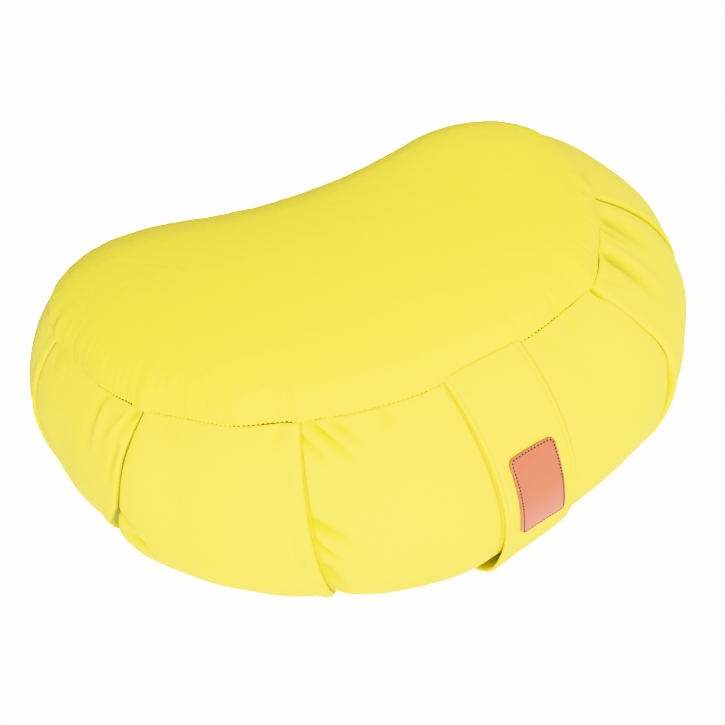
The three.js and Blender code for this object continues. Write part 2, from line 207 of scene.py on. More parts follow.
def swell_of(p):
    """How far the band swells out at a place on the seam."""
    facing = np.arctan2(-p["ny"], p["nx"])
    swell = SWELL + SWELL_TO_THE_RIGHT * np.cos(facing) + SWELL_AT_THE_ENDS * np.cos(2 * facing)
    return swell * (1 - SWELL_LOST_IN_HOLLOW * p["hollow"]) + trim(p["at"], TRIM_SWELL)


def band(at, down, lift=0.0, drop=0.0):
    """Points of the band: at mm along the seam, down from 0 at the top seam to 1 at the foot seam."""
    p = seam(at)
    above_widest = 0.5 * down / WIDEST_AT
    below_widest = 0.5 + 0.5 * (down - WIDEST_AT) / (1 - WIDEST_AT)
    half = np.where(down < WIDEST_AT, above_widest, below_widest)
    out = swell_of(p) * np.sin(np.pi * half) - FOOT_INSET * down + lift
    fall = 0.5 * down + 0.25 * (1 - np.cos(np.pi * down))
    top = seam_height(p["x"])
    z = top + (FOOT_SEAM - top) * fall - drop
    return np.stack([p["x"] + p["nx"] * out, p["y"] + p["ny"] * out, z], -1)


def spine(share):
    """The middle line of the plan, which sags towards the front as the cushion does."""
    dx, dy = LOBE_RIGHT[0] - LOBE_LEFT[0], LOBE_RIGHT[1] - LOBE_LEFT[1]
    span = math.hypot(dx, dy)
    sag = SPINE_SAG * (1 - (2 * share - 1) ** 2)
    x = LOBE_LEFT[0] + dx * share + dy / span * sag
    y = LOBE_LEFT[1] + dy * share - dx / span * sag
    return np.stack([x, y], -1)


print("swell at the front:", round(float(swell_of(seam(0.0))), 1), "mm")

# %% [markdown]
# ## The pleats
# A knife pleat is a flat Z of cloth: the strip runs to a folded edge, turns back under itself, and turns
# forward again. A real overhang gives the thin dark line that such a fold shows, so each pleat is modelled
# as that Z, and painted shade darkens the slit as well. The first table says where each pleat starts on the
# seam, how its line wanders on the way down, how deep it is, which side laps over the other, and how far it
# gapes. The second table is the Z itself, seen from above: the upper layer rises a little, and the slit
# beside it is narrow and several millimetres deep, which is what makes it dark in soft light. Where a pleat
# gapes, the lower layer runs up from the slit in a long slope instead. The table's last column says how much
# painted shade darkens the cloth there, and the cotton's material reads that later.

# %% Table of pleats
# name, at; then at 0.2, 0.4, 0.6, 0.8 and 1 of the way down: wander of the line, gape of the slit and
# share of its depth; then size of the fold, and lap
PLEATS = [
    ("back_left", -432, (0, 1, 1, 0, 0), (0.3, 0.6, 1.0, 1.2, 0.5), (0.8, 0.8, 0.8, 0.7, 0.5), 0.9, 1),
    ("left_rear", -338, (1, 2, 2, 1, 0), (0.3, 0.7, 1.2, 1.4, 0.6), (0.8, 0.8, 0.8, 0.7, 0.5), 0.9, 1),
    ("left", -242, (1, 4, 8, 8, 6), (0.3, 0.6, 0.9, 0.9, 0.4), (0.9, 1.0, 0.9, 0.7, 0.5), 0.9, 1),
    ("front_left", -135.5,
     (-3.2, -7.8, -28, -40, -34), (1.0, 1.0, 10, 13, 5), (0.9, 1.6, 1.9, 1.2, 0.6), 0.75, 1),
    ("front", -35, (0.4, 0.8, 1.2, 0.5, -2), (1.2, 3.0, 7.0, 8.5, 4), (0.65, 0.72, 0.95, 1.0, 0.6), 1.2, 1),
    ("front_right", 170,
     (0.9, 6.8, 3, -8, -14), (0.2, 0.8, 1.8, 2.4, 1.2), (0.22, 0.7, 2.5, 2.0, 0.8), 1.2, -1),
    ("right", 263.5, (-1, -2, -1.5, -1, 0), (1.0, 1.3, 1.2, 0.8, 0.3), (1.5, 1.6, 1.3, 0.9, 0.5), 1.1, -1),
    ("right_rear", 362, (0, -1, -2, -1, 0), (0.3, 0.7, 1.2, 1.4, 0.6), (0.8, 0.8, 0.8, 0.7, 0.5), 0.9, 1),
    ("back_right", 456, (0, 0, 1, 1, 0), (0.3, 0.6, 1.0, 1.2, 0.5), (0.8, 0.8, 0.8, 0.7, 0.5), 0.9, 1),
]
GUESSED_PLEATS = ("back_left", "left_rear", "right_rear", "back_right")
KNOTS = np.array([0, 0.2, 0.4, 0.6, 0.8, 1.0])

# aside and lift in mm, across the fold from the upper layer into the slit and up on the lower layer; then
# how much painted shade darkens the cloth there
FOLD = np.array([
    (-9, 0.55, 0), (-6, 1.1, 0), (-3.8, 1.4, 0), (-2.2, 1.35, 0), (-1.1, 1.0, 0), (-0.35, 0.35, 0.4),
    (0.05, -0.6, 1), (0.15, -1.8, 1), (0.05, -3.4, 1), (-0.3, -5.2, 1), (-0.6, -6.8, 1), (0.1, -7.6, 1),
    (0.8, -6.8, 1), (0.95, -5.2, 1), (1.0, -3.4, 1), (1.1, -1.9, 0.7), (1.4, -1.1, 0.3), (2.0, -0.6, 0),
    (3.2, -0.3, 0), (5.2, -0.12, 0), (8.4, 0.0, 0),
])
# below this share of its depth a fold is too shallow to get painted shade
SHADED_FROM = 0.6
# how far a pleat stands open, as a share: held in both seams and full from a third of the way down
OPEN_DOWN = np.array([0, 0.03, 0.12, 0.35, 0.9, 1.0])
OPEN_SHARE = np.array([0.35, 0.6, 0.85, 1.0, 0.9, 0.3])
print(len(PLEATS), "pleats of", len(FOLD), "columns,", len(GUESSED_PLEATS), "of them out of sight")


# %% Course of a pleat on the way down
def through(x, xs, ys):
    """A smooth curve through the points xs, ys."""
    slopes = np.gradient(ys, xs)
    i = np.clip(np.searchsorted(xs, x) - 1, 0, len(xs) - 2)
    h = xs[i + 1] - xs[i]
    t = np.clip((x - xs[i]) / h, 0, 1)
    return ((1 + 2 * t) * (1 - t) ** 2 * ys[i] + t * (1 - t) ** 2 * h * slopes[i]
            + t * t * (3 - 2 * t) * ys[i + 1] + t * t * (t - 1) * h * slopes[i + 1])


def pleat_line(pleat, down):
    """The at of a pleat's folded edge."""
    return pleat[1] + through(down, KNOTS, np.array([0.0, *pleat[2]]))


def pleat_growth(down):
    """How far a pleat stands open, as a share."""
    return through(down, OPEN_DOWN, OPEN_SHARE)


def pleat_gape(pleat, down):
    """How far a pleat's slit gapes, in mm."""
    return through(down, KNOTS, np.array([0.5 * pleat[3][0], *pleat[3]]))


line_half_way = {pleat[0]: round(float(pleat_line(pleat, np.array(0.5))), 1) for pleat in PLEATS}
print("half way down the pleats lie at", line_half_way, "mm")

# %% [markdown]
# ## Soft creases
# Where the cloth is gathered into a pleat's head, shallow creases run out of it and die away within a few
# centimetres. Each row of the next table is one such crease, drawn as a line on the band with a width and
# a depth; a positive depth is a ridge. The rows with a place of their own follow the photograph. Pleats
# that the photograph doesn't show get the same small family of creases, scaled by a seeded random number,
# so that no two look alike. The seam holds the cloth, so close to it every crease is shallow.

# %% Table of creases
# from at, from down, to at, to down, width, lift
CREASES = [
    (-138.5, 0.03, -150.5, 0.14, 3.0, -3.8), (-143, 0.17, -148, 0.35, 2.8, -3.2),
    (-168, 0.05, -170.5, 0.23, 4.6, -2.4), (-165.5, 0.08, -162, 0.29, 4.6, 2.2),
    (-145.5, 0.05, -156, 0.21, 3.2, 2.4), (-141.5, 0.14, -143, 0.28, 2.2, 1.6),
    (-141, 0.43, -131, 0.47, 3.0, -3.0), (-133, 0.52, -128, 0.62, 4.0, -3.0),
    (-140, 0.53, -131, 0.575, 2.6, -4.6),
    (-31, 0.012, -5, 0.17, 2.6, -4.6), (-21.5, 0.005, -0.5, 0.12, 2.8, -3.4),
    (-26, 0.012, -2, 0.15, 2.4, 2.4), (-33, 0.08, -20, 0.16, 2.2, -2.8),
    (-31, 0.34, -15, 0.41, 3.4, -3.8), (-32, 0.415, -22, 0.48, 2.4, -4.2), (-29, 0.385, -19, 0.45, 2.2, 2.0),
    (-29, 0.52, -24, 0.70, 4.0, -2.6), (-28, 0.71, -22, 0.78, 2.6, -6.0),
    (10.5, 0.02, 18, 0.09, 3.6, -1.8), (-44, 0.02, -52, 0.12, 4.0, -1.6),
    (216, 0.01, 206.5, 0.28, 4.2, 2.2), (205, 0.01, 194, 0.27, 6.2, -3.9),
    (231, 0.0, 225.5, 0.13, 3.6, -2.8), (241, 0.02, 231, 0.21, 6.5, -3.2),
    (255, 0.03, 250, 0.20, 5.0, 1.2), (180, 0.02, 190, 0.16, 4.0, -1.0),
    (169.0, 0.025, 168.6, 0.095, 1.5, -7.5), (169.2, 0.66, 174.8, 0.38, 1.6, -6.4),
    (-234, 0.03, -220, 0.16, 5.0, -1.1), (-226, 0.02, -210, 0.10, 4.0, -0.9),
    (-233, 0.40, -216, 0.43, 4.4, -1.5),
    (-120, 0.03, -104, 0.12, 5.0, -0.8), (116, 0.02, 124, 0.14, 5.0, -0.8), (144, 0.02, 136, 0.10, 5.0, -0.7),
]
# the same, with at measured from a pleat that the photograph doesn't show
PLEAT_CREASES = [
    (5, 0.01, 27, 0.17, 4.0, -1.7), (13, 0.005, 33, 0.11, 4.0, -1.3), (10, 0.01, 30, 0.14, 3.4, 1.0),
    (-5, 0.03, -17, 0.15, 4.0, -1.5), (-24, 0.04, -27, 0.22, 6.0, -1.2), (-14, 0.05, -20, 0.26, 5.0, 1.2),
    (4, 0.42, 16, 0.50, 5.0, -1.4),
]
rng = np.random.default_rng(7)
for name, at, *_ in PLEATS:
    if name in GUESSED_PLEATS:
        for a0, d0, a1, d1, width, lift in PLEAT_CREASES:
            shift, size = rng.uniform(-3, 3), rng.uniform(0.7, 1.2)
            CREASES.append((at + a0 + shift, d0, at + a1 + shift, d1, width * size, lift * size))
CREASES = np.array(CREASES)
# mm of cloth from seam to seam, and how much longer the band's belly is than its top seam
BAND_HEIGHT = 182.0
BELLY_STRETCH = 1.2
SEAM_HOLDS = 0.055
print(len(CREASES), "creases")


def crease_lift(at, down):
    """Sum of all creases, each a soft groove or ridge round its line that fades towards its far end."""
    at = (at + SEAM_LENGTH / 2) % SEAM_LENGTH - SEAM_LENGTH / 2
    lift = np.zeros(np.broadcast(at, down).shape)
    for a0, d0, a1, d1, width, depth in CREASES:
        reach = 4 * width / BELLY_STRETCH + 2
        near = (at > min(a0, a1) - reach) & (at < max(a0, a1) + reach)
        x, y = at[near] * BELLY_STRETCH, down[near] * BAND_HEIGHT
        x0, y0 = a0 * BELLY_STRETCH, d0 * BAND_HEIGHT
        vx, vy = (a1 - a0) * BELLY_STRETCH, (d1 - d0) * BAND_HEIGHT
        t = np.clip(((x - x0) * vx + (y - y0) * vy) / (vx * vx + vy * vy), 0, 1)
        gap = np.hypot(x - x0 - vx * t, y - y0 - vy * t)
        lift[near] += depth * np.exp(-((gap / width) ** 2)) * (1 - t**2) ** 1.2
    return lift * (0.08 + 0.92 * np.clip(down / SEAM_HOLDS, 0, 1) ** 1.5)


# %% [markdown]
# ## Tucks under the panel, and the lumps of the filling
# Left of a pleat's head three layers of cloth meet, and the band dives under the panel's edge. That is
# the deep shadow beside each head. The filling shows too: hulls never lie perfectly even, so the band gets
# long, low waves from a handful of seeded sines. Each section between two pleats also bulges a little.

# %% Tucks and lumps
# from at, to at, depth in mm
TUCKS = [
    (-174, -135.5, 1.2), (-72, -35, 1.2), (-258, -242, 0.9), (152, 170, 0.8), (246, 263.5, 0.9),
    (-364, -338, 0.4), (-460, -432, 0.4), (334, 362, 0.4), (430, 456, 0.4),
]
wave_count = 26
wave_along = rng.integers(6, 22, wave_count) * math.tau / SEAM_LENGTH
wave_down = rng.uniform(1.0, 4.5, wave_count) * math.pi
wave_start = rng.uniform(0, math.tau, (2, wave_count))
wave_size = rng.uniform(0.1, 0.34, wave_count)


def tuck(at):
    """How far the band is tucked under the panel, in mm."""
    at = (at + SEAM_LENGTH / 2) % SEAM_LENGTH - SEAM_LENGTH / 2
    depth = np.zeros_like(at)
    for start, end, size in TUCKS:
        share = np.clip((at - start) / (end - start), 0, 1)
        depth = np.maximum(depth, size * np.sin(np.pi * share**1.3) ** 0.8)
    return depth


def lumps(at, down):
    """Low waves of the filling, in mm, none in the seams."""
    total = np.zeros(np.broadcast(at, down).shape)
    for k in range(wave_count):
        total += wave_size[k] * np.sin(wave_along[k] * at + wave_start[0, k]) * np.sin(
            wave_down[k] * down + wave_start[1, k])
    return total * np.sin(np.pi * np.clip(down, 0, 1)) ** 0.7


print(len(TUCKS), "tucks, and", wave_count, "waves of up to", round(float(wave_size.max()), 2), "mm")

# %% [markdown]
# ## Building a skin from rings
# Most pieces here are rings of points, one below the other, joined by quads and closed by a cap at each
# end. One short helper does that. It also stores a UV map in which one unit is one metre of cloth, so that
# the weave follows the thread of the cut piece, not the axes of the room.

# %% Mesh helpers
def mesh_object(name, points, faces, uvs):
    """A smooth-shaded mesh from points in mm. uvs gives one (u, v) in metres for each corner of each face."""
    mesh = bpy.data.meshes.new(name)
    mesh.from_pydata((np.asarray(points) * MM).tolist(), [], faces)
    layer = mesh.uv_layers.new(name="cut")
    layer.data.foreach_set("uv", np.concatenate([np.asarray(uv, float).ravel() for uv in uvs]))
    mesh.polygons.foreach_set("use_smooth", np.full(len(mesh.polygons), True))
    mesh.update()
    obj = bpy.data.objects.new(name, mesh)
    bpy.context.scene.collection.objects.link(obj)
    return obj


def ring_skin(name, rings, uv, closed=True, caps=True):
    """Rings (rows, columns, 3) in mm, anticlockwise from above and running from the top down."""
    rows, columns = rings.shape[:2]
    steps = columns if closed else columns - 1
    faces, corners = [], []
    for row in range(rows - 1):
        for column in range(steps):
            right = (column + 1) % columns
            faces.append((row * columns + column, (row + 1) * columns + column,
                          (row + 1) * columns + right, row * columns + right))
            corners.append((uv[row, column], uv[row + 1, column],
                            uv[row + 1, column + 1], uv[row, column + 1]))
    if caps:
        faces.append(tuple(range(columns)))
        corners.append([rings[0, k, :2] * MM for k in range(columns)])
        last = (rows - 1) * columns
        faces.append(tuple(last + k for k in range(columns - 1, -1, -1)))
        corners.append([rings[-1, k, :2] * MM for k in range(columns - 1, -1, -1)])
    return mesh_object(name, rings.reshape(-1, 3), faces, corners)


def store_shade(obj, values):
    """Keep one number for each point of a mesh: how deep in a fold it lies, from -1 to 1, for painted shade.
    """
    layer = obj.data.attributes.new("hollow", "FLOAT", "POINT")
    layer.data.foreach_set("value", np.clip(np.asarray(values, float).ravel(), -1, 1))


# %% [markdown]
# ## The crown of the panel
# A panel that is pushed up evenly from below takes the shape of a membrane, like a soap film under
# pressure. Rather than guess its dome, we let the computer find it: the panel's flat cut is split into
# triangles, and the height that balances the pull of all neighbours is solved with conjugate gradients.
# A power below one half of that height has the full, round edge of a firmly stuffed pillow.

# %% Flat net of the panel
# rings lie closer together at the seam, where the crown is steep
NET_RINGS, RING_CROWDING = 34, 1.25
NET_COLUMNS = 420
CROWN_HEIGHT = 36.5
CROWN_FULLNESS = 0.42


def panel_net(at, inward, out=0.0):
    """Plan points from the seam (inward 0) to the spine (inward 1), with the seam's edge moved out."""
    p = seam(at)
    edge = np.stack([p["x"] + p["nx"] * out, p["y"] + p["ny"] * out], -1)
    return edge + (spine(p["spine"]) - edge) * inward[..., None]


def net_columns():
    """Places round the seam whose front and back columns meet in pairs on the spine."""
    lengths = np.diff(ARC_ENDS)
    long_side = int(NET_COLUMNS * (lengths[0] + lengths[2]) / 2 / SEAM_LENGTH)
    right_end = int(NET_COLUMNS * lengths[1] / SEAM_LENGTH)
    left_end = int(NET_COLUMNS * lengths[3] / SEAM_LENGTH)
    counts = (long_side, right_end, long_side, left_end)
    runs = [ARC_ENDS[k] + lengths[k] * np.arange(n) / n for k, n in enumerate(counts)]
    return np.concatenate(runs) - FRONT_MIDDLE


# %% Find the height of a membrane
MEMBRANE_SETTLED = 1e-14


def membrane(plan, triangles, fixed, rounds=900):
    """Height of a membrane under an even push, zero at the fixed points."""
    count = len(plan)
    rows, columns, pulls = [], [], []
    area = np.zeros(count)
    for k in range(3):
        i, j, o = triangles[:, k], triangles[:, (k + 1) % 3], triangles[:, (k + 2) % 3]
        a, b = plan[i] - plan[o], plan[j] - plan[o]
        doubled = np.abs(a[:, 0] * b[:, 1] - a[:, 1] * b[:, 0])
        cot = np.clip((a * b).sum(1) / np.maximum(doubled, 1e-6), -20, 20) / 2
        rows += [i, j]
        columns += [j, i]
        pulls += [cot, cot]
        area += np.bincount(i, doubled / 6, count)
    rows, columns, pulls = (np.concatenate(x) for x in (rows, columns, pulls))
    total = np.bincount(rows, pulls, count)
    free = (~fixed).astype(float)

    def pull(h):
        """How strongly each point is drawn back by its neighbours."""
        return (total * h - np.bincount(rows, pulls * h[columns], count)) * free

    h = np.zeros(count)
    rest = area * free
    scale = free / np.maximum(total, 1e-9)
    z = rest * scale
    step = z.copy()
    energy = rest @ z
    for _ in range(rounds):
        moved = pull(step)
        k = energy / max(step @ moved, 1e-30)
        h += k * step
        rest -= k * moved
        z = rest * scale
        new_energy = rest @ z
        if new_energy < MEMBRANE_SETTLED:
            break
        step = z + new_energy / energy * step
        energy = new_energy
    return h


# %% Solve the crown
NET_AT = net_columns()
columns = len(NET_AT)
inward = 1 - (1 - np.linspace(0, 1, NET_RINGS) ** RING_CROWDING)
net_shape = (NET_RINGS, columns)
net = panel_net(np.broadcast_to(NET_AT, net_shape), np.broadcast_to(inward[:, None], net_shape))
# front and back columns meet on the spine, so points in one place share one number
numbers, ids = {}, np.zeros(net_shape, int)
for row in range(NET_RINGS):
    for column in range(columns):
        place_key = tuple(np.round(net[row, column], 4))
        ids[row, column] = numbers.setdefault(place_key, len(numbers))
net_plan = np.array(list(numbers))
a, b = ids[:-1], ids[1:]
quads = np.stack([a, b, np.roll(b, -1, 1), np.roll(a, -1, 1)], -1).reshape(-1, 4)
net_triangles = np.concatenate([quads[:, [0, 1, 2]], quads[:, [0, 2, 3]]])
net_triangles = net_triangles[(np.diff(np.sort(net_triangles, 1), axis=1) > 0).all(1)]
fixed = np.zeros(len(net_plan), bool)
fixed[ids[0]] = True
net_height = membrane(net_plan, net_triangles, fixed)
net_height = (np.maximum(net_height, 0) / net_height.max()) ** CROWN_FULLNESS
rise_table = net_height[ids] * CROWN_HEIGHT
print("panel net:", len(net_plan), "points, crown", round(float(rise_table.max()), 1), "mm")


def crown_rise(at, share):
    """Rise of the crown over the seam's level, read from the solved net."""
    run = (np.asarray(at) + FRONT_MIDDLE) % SEAM_LENGTH
    across_net = np.interp(run, np.append(NET_AT + FRONT_MIDDLE, SEAM_LENGTH), np.arange(columns + 1))
    down_net = np.interp(share, inward, np.arange(len(inward)))
    c0 = np.minimum(across_net.astype(int), columns - 1)
    r0 = np.minimum(down_net.astype(int), len(inward) - 2)
    fc, fr = across_net - c0, down_net - r0
    c1 = (c0 + 1) % columns
    low = rise_table[r0, c0] * (1 - fc) + rise_table[r0, c1] * fc
    high = rise_table[r0 + 1, c0] * (1 - fc) + rise_table[r0 + 1, c1] * fc
    return low * (1 - fr) + high * fr


# %% [markdown]
# ## Where the handle presses
# The handle is sewn tight over the upper half of the band, so a narrow groove runs along each of its
# edges. The bag needs this place before the handle itself is made.

# %% The handle's place on the band
# at of the strap's middle line at the top seam, how far it leans on the way down, and its width
STRAP_AT, STRAP_LEAN, STRAP_WIDTH = 78.1, -6.0, 53.5
# the grooves end where the strap has left the band
GROOVE_WIDTH, GROOVE_DEPTH, GROOVE_END = 1.4, (2.3, 2.6), 0.8


def strap_place(aside, down):
    """The at of a place on the strap, aside in mm from its middle line."""
    centre = STRAP_AT + STRAP_LEAN * down
    p = seam(centre)
    middle = band(centre, down)
    out = np.hypot(middle[..., 0] - p["x"], middle[..., 1] - p["y"])
    return centre + aside / (1 + out * p["bend"])


def strap_groove(at, down):
    """Depth in mm of the grooves along the strap's left and right edges."""
    middle, edge = strap_place(0.0, down), strap_place(STRAP_WIDTH / 2, down)
    aside = (at - middle) / (edge - middle) * STRAP_WIDTH / 2
    hold = np.clip(down / 0.03, 0, 1) * np.clip((GROOVE_END - down) / 0.2, 0, 1)
    left, right = (depth * np.exp(-(((np.abs(aside) - STRAP_WIDTH / 2) / GROOVE_WIDTH) ** 2))
                   for depth in GROOVE_DEPTH)
    return np.where(aside < 0, left, right) * hold


print("handle's middle from", STRAP_AT, "to", STRAP_AT + STRAP_LEAN, "mm along the seam")

# %% [markdown]
# ## The filled bag with its pleated band
# The bag is one closed, crowned form. Its columns are dense across each pleat, where the Z of the fold
# needs them, fairly dense where the soft creases and the grooves beside the handle lie, and wide apart
# elsewhere. Its crown lies just under the top panel and its foot just above the bottom panel, where nobody
# sees them, so those need only a few rings.

# %% Rows of the band, and the course of a fold
# down, lift and drop of the band's edge, which rolls up beside the panel and dives into the seam
SEAM_ROLL = np.array([
    (0.0, 0.6, 4.2), (0.004, 1.0, 3.1), (0.008, 0.8, 1.8), (0.0115, 0.35, 0.7), (0.016, -0.05, -0.35),
    (0.021, -0.1, -0.8), (0.027, -0.05, -0.8), (0.035, 0.0, -0.45), (0.046, 0.0, -0.1), (0.06, 0.0, 0.0),
])
BAND_ROWS = np.concatenate([
    SEAM_ROLL[:-1, 0], np.linspace(0.06, 0.93, 84), [0.945, 0.96, 0.973, 0.984, 0.993, 1.0]])
# how deep in a slit a gape has closed, in mm
GAPE_CLOSED = 8.0


def column_course(pleat, aside, lift, shade, down):
    """Course of one column of a fold down the band: at, lift and painted shade.
    A gape slopes the lower layer.
    """
    *_, depths, size, lap = pleat
    gape = pleat_gape(pleat, down)
    closed = min(max(-lift, 0.0) / GAPE_CLOSED, 1.0) ** 0.8
    further = gape * (1 - closed) if aside > 0.3 else 0.0
    depth = through(down, KNOTS, np.array([depths[0], *depths]))
    height = lift * size if lift > 0 else lift * depth / (1 + 0.2 * gape)
    # painted shade of the fold's slit, none where the fold is shallow
    dyed = shade * np.clip(depth - SHADED_FROM, 0, 1)
    return pleat_line(pleat, down) + lap * (aside + further), height * pleat_growth(down), dyed


print("band of", len(BAND_ROWS), "rows")

# %% How dense the columns stand
# at, and columns for each mm of the band there
DENSITY = np.array([
    (-600, 0.55), (-200, 0.55), (-188, 1.5), (-110, 1.5), (-100, 0.7), (-60, 0.7), (-50, 1.3), (30, 1.3),
    (40, 1.0), (46, 2.2), (57, 2.2), (62, 0.7), (90, 0.7), (95, 1.8), (109, 1.8), (114, 0.7), (155, 0.7),
    (165, 1.5), (258, 1.5), (270, 0.55), (600, 0.55)])
SECTION_STEPS = 799


def section_shares(start, end):
    """Shares of the way from one pleat to the next at which the section's columns stand."""
    steps = np.linspace(0, 1, SECTION_STEPS + 1)
    weight = np.interp(start + (end - start) * steps, DENSITY[:, 0], DENSITY[:, 1])
    total = np.concatenate([[0], np.cumsum((weight[1:] + weight[:-1]) / 2)]) / SECTION_STEPS
    count = int((end - start) * total[-1])
    return np.interp((np.arange(count) + 1) / (count + 1) * total[-1], total, steps)


def bag_grid():
    """at, lift, fold's painted shade and share of the section for every row and column of the band."""
    ats, lifts, shades, shares = [], [], [], []
    down = BAND_ROWS
    folds = []
    for pleat in PLEATS:
        order = FOLD if pleat[-1] > 0 else FOLD[::-1]
        folds.append([column_course(pleat, *column, down) for column in order])
    for index in range(len(PLEATS)):
        # the third value of each fold column is its painted shade
        for at, lift, dyed in folds[index]:
            ats.append(at)
            lifts.append(lift)
            shades.append(dyed)
            shares.append(0.0)
        following = folds[(index + 1) % len(PLEATS)][0]
        turn = SEAM_LENGTH if index == len(PLEATS) - 1 else 0
        start_at, start_lift, _ = folds[index][-1]
        for share in section_shares(start_at[0], following[0][0] + turn):
            ats.append(start_at + (following[0] + turn - start_at) * share)
            lifts.append(start_lift + (following[1] - start_lift) * share)
            shades.append(np.zeros_like(down))
            shares.append(share)
    return np.array(ats).T, np.array(lifts).T, np.array(shades).T, np.array(shares)


# %% Points of the band
SECTION_PUFF = 1.6
# how far down a tuck reaches, and how much of it goes down and not in
TUCK_REACH, TUCK_DROP_REACH, TUCK_DROP = 0.06, 0.05, 0.35

bag_at, fold_lift, fold_shade, section_share = bag_grid()
bag_down = np.broadcast_to(BAND_ROWS[:, None], bag_at.shape)
puff = SECTION_PUFF * np.sin(np.pi * section_share) ** 0.8 * np.sin(np.pi * bag_down)
tucked = tuck(bag_at)
groove = strap_groove(bag_at, bag_down)
creased = crease_lift(bag_at, bag_down) - groove
band_lift = (fold_lift + puff + creased + lumps(bag_at, bag_down)
             - tucked * np.exp(-((bag_down / TUCK_REACH) ** 2)))
band_lift += np.interp(bag_down, SEAM_ROLL[:, 0], SEAM_ROLL[:, 1])
band_drop = tucked * TUCK_DROP * np.exp(-((bag_down / TUCK_DROP_REACH) ** 2))
band_drop += np.interp(bag_down, SEAM_ROLL[:, 0], SEAM_ROLL[:, 2])
band_points = band(bag_at, bag_down, band_lift, band_drop)
print("band:", band_points.shape[0], "rows of", band_points.shape[1], "points")

# %% Crown and foot of the bag
# thickness of a panel, and the space left under it
SHEET = 2.0
CLEAR = 0.5
# the rings' shares of the way in to the spine, and at the foot their heights too
CROWN_INWARD = np.array([0.93, 0.72, 0.5, 0.32, 0.2, 0.12, 0.06, 0.02])
FOOT_RINGS = [(0.03, 4.0), (0.12, 1.4), (0.24, 0.0)]
# the crown is fuller over the rear of the right lobe: middle, reach and rise
FULLER_X, FULLER_Y = (88, 72), (92, 48)
FULLER_RISE = 7.0


def crown_points(at, share, lower, out=0.0):
    """Points of the crown, at a share of the way in from the seam to the spine."""
    plan = panel_net(at, share, out)
    dx = (plan[..., 0] - FULLER_X[0]) / FULLER_X[1]
    dy = (plan[..., 1] - FULLER_Y[0]) / FULLER_Y[1]
    fuller = FULLER_RISE * np.exp(-(dx**2) - dy**2) * (1 - np.exp(-share / 0.07))
    z = seam_height(plan[..., 0]) + crown_rise(at, share) + fuller - lower
    return np.concatenate([plan, z[..., None]], -1)


def foot_points(at, share, height, out=0.0):
    """Points under the cushion, at a share of the way in from the foot seam to the spine."""
    edge = band(at, np.ones_like(at), out)
    middle = spine(seam(at)["spine"])
    plan = edge[..., :2] + (middle - edge[..., :2]) * share
    return np.concatenate([plan, np.full(plan.shape[:-1] + (1,), height)], -1)


def in_order(places, spread=0.03):
    """The same places round the bag in rising order, and kept apart where a fold stacks them."""
    even = np.linspace(0, SEAM_LENGTH, len(places), endpoint=False) + places.min()
    return np.sort(places) * (1 - spread) + even * spread


# %% Close the bag above and below
top_at = in_order(bag_at[0])
crown_under = np.array([
    crown_points(top_at, np.full_like(top_at, share), SHEET * 1.6 + CLEAR, -1.5) for share in CROWN_INWARD])
foot_at = in_order(bag_at[-1])
foot_inside = np.array([
    foot_points(foot_at, share, height + SHEET + CLEAR, -1.0) for share, height in FOOT_RINGS])
bag_rings = np.concatenate([crown_under, band_points, foot_inside])
band_first = len(crown_under)
band_end = band_first + len(BAND_ROWS)

# %% Cloth coordinates of the bag, and how deep its folds are
# metres of cloth down the band, and from a seam in to the spine
BAND_RUN, INWARD_RUN = 0.19, 0.08
# mm of crease and of fold that get the full painted shade
CREASE_FULL_SHADE, FOLD_FULL_SHADE = 3.2, 5.0

around = np.append(bag_at[0], bag_at[0, 0] + SEAM_LENGTH)
front_course = band(np.zeros_like(BAND_ROWS), BAND_ROWS)
course_steps = np.linalg.norm(np.diff(front_course, axis=0), axis=1)
course = np.concatenate([[0], np.cumsum(course_steps)])
foot_inward = np.array([share for share, _ in FOOT_RINGS])
bag_uv = np.zeros((len(bag_rings), bag_rings.shape[1] + 1, 2))
bag_uv[..., 0] = around * BELLY_STRETCH * MM
bag_uv[:band_first, :, 1] = -CROWN_INWARD[:, None] * INWARD_RUN
bag_uv[band_first:band_end, :, 1] = course[:, None] * MM
bag_uv[band_end:, :, 1] = BAND_RUN + foot_inward[:, None] * INWARD_RUN
bag = ring_skin("filled_bag", bag_rings, bag_uv)
hollow = np.zeros(bag_rings.shape[:2])
# painted shade: a point deep in a crease, a fold or a groove beside the handle is painted darker
hollow[band_first:band_end] = np.maximum(-creased / CREASE_FULL_SHADE - fold_lift / FOLD_FULL_SHADE, fold_shade)
store_shade(bag, hollow)
print("filled bag:", len(bag.data.polygons), "faces")

# %% [markdown]
# ## The top panel
# The panel is a sheet of real thickness. Its edge is turned under at the seam, so it rounds down to the
# band and stands a hair proud of it, most in a small corner over each pleat's head. Where the seam gapes,
# the edge draws back and a dark line shows. Each stitch also pulls the edge in by a fraction of a
# millimetre. Besides that the edge puckers, in waves under a millimetre high that die out a few centimetres
# in. A few sines with seeded phases make them uneven.

# %% Edge of the panel
# at, and how far the seam gapes there as a share; below zero the edge covers the seam
SEAM_GAPES = np.array([
    (-470, 0.0), (-440, 0.2), (-431, 0.0), (-372, 0.0), (-346, 0.2), (-337, 0.0), (-262, 0.1), (-248, 0.8),
    (-241, 0.1), (-185, 0.1), (-172, 0.3), (-160, 0.4), (-150, 0.55), (-141, 0.4), (-135, 0.0), (-128, 0.15),
    (-112, 0.1), (-90, -0.15), (-74, -0.3), (-64, 0.0), (-58, 0.4), (-50, 0.5), (-41, 0.4), (-35, 0.0),
    (-20, -0.5), (30, -0.6), (36, -0.8), (47, -0.9), (52, -0.5), (112, -0.2), (150, 0.0), (170, 0.0),
    (186, 0.0), (194, 0.35), (205, 0.3), (211, -0.2), (262, -0.3), (264, 0.0), (330, 0.0),
    (354, 0.2), (363, 0.0), (420, 0.0), (448, 0.2), (457, 0.0),
])
STITCH_PITCH = 2.8
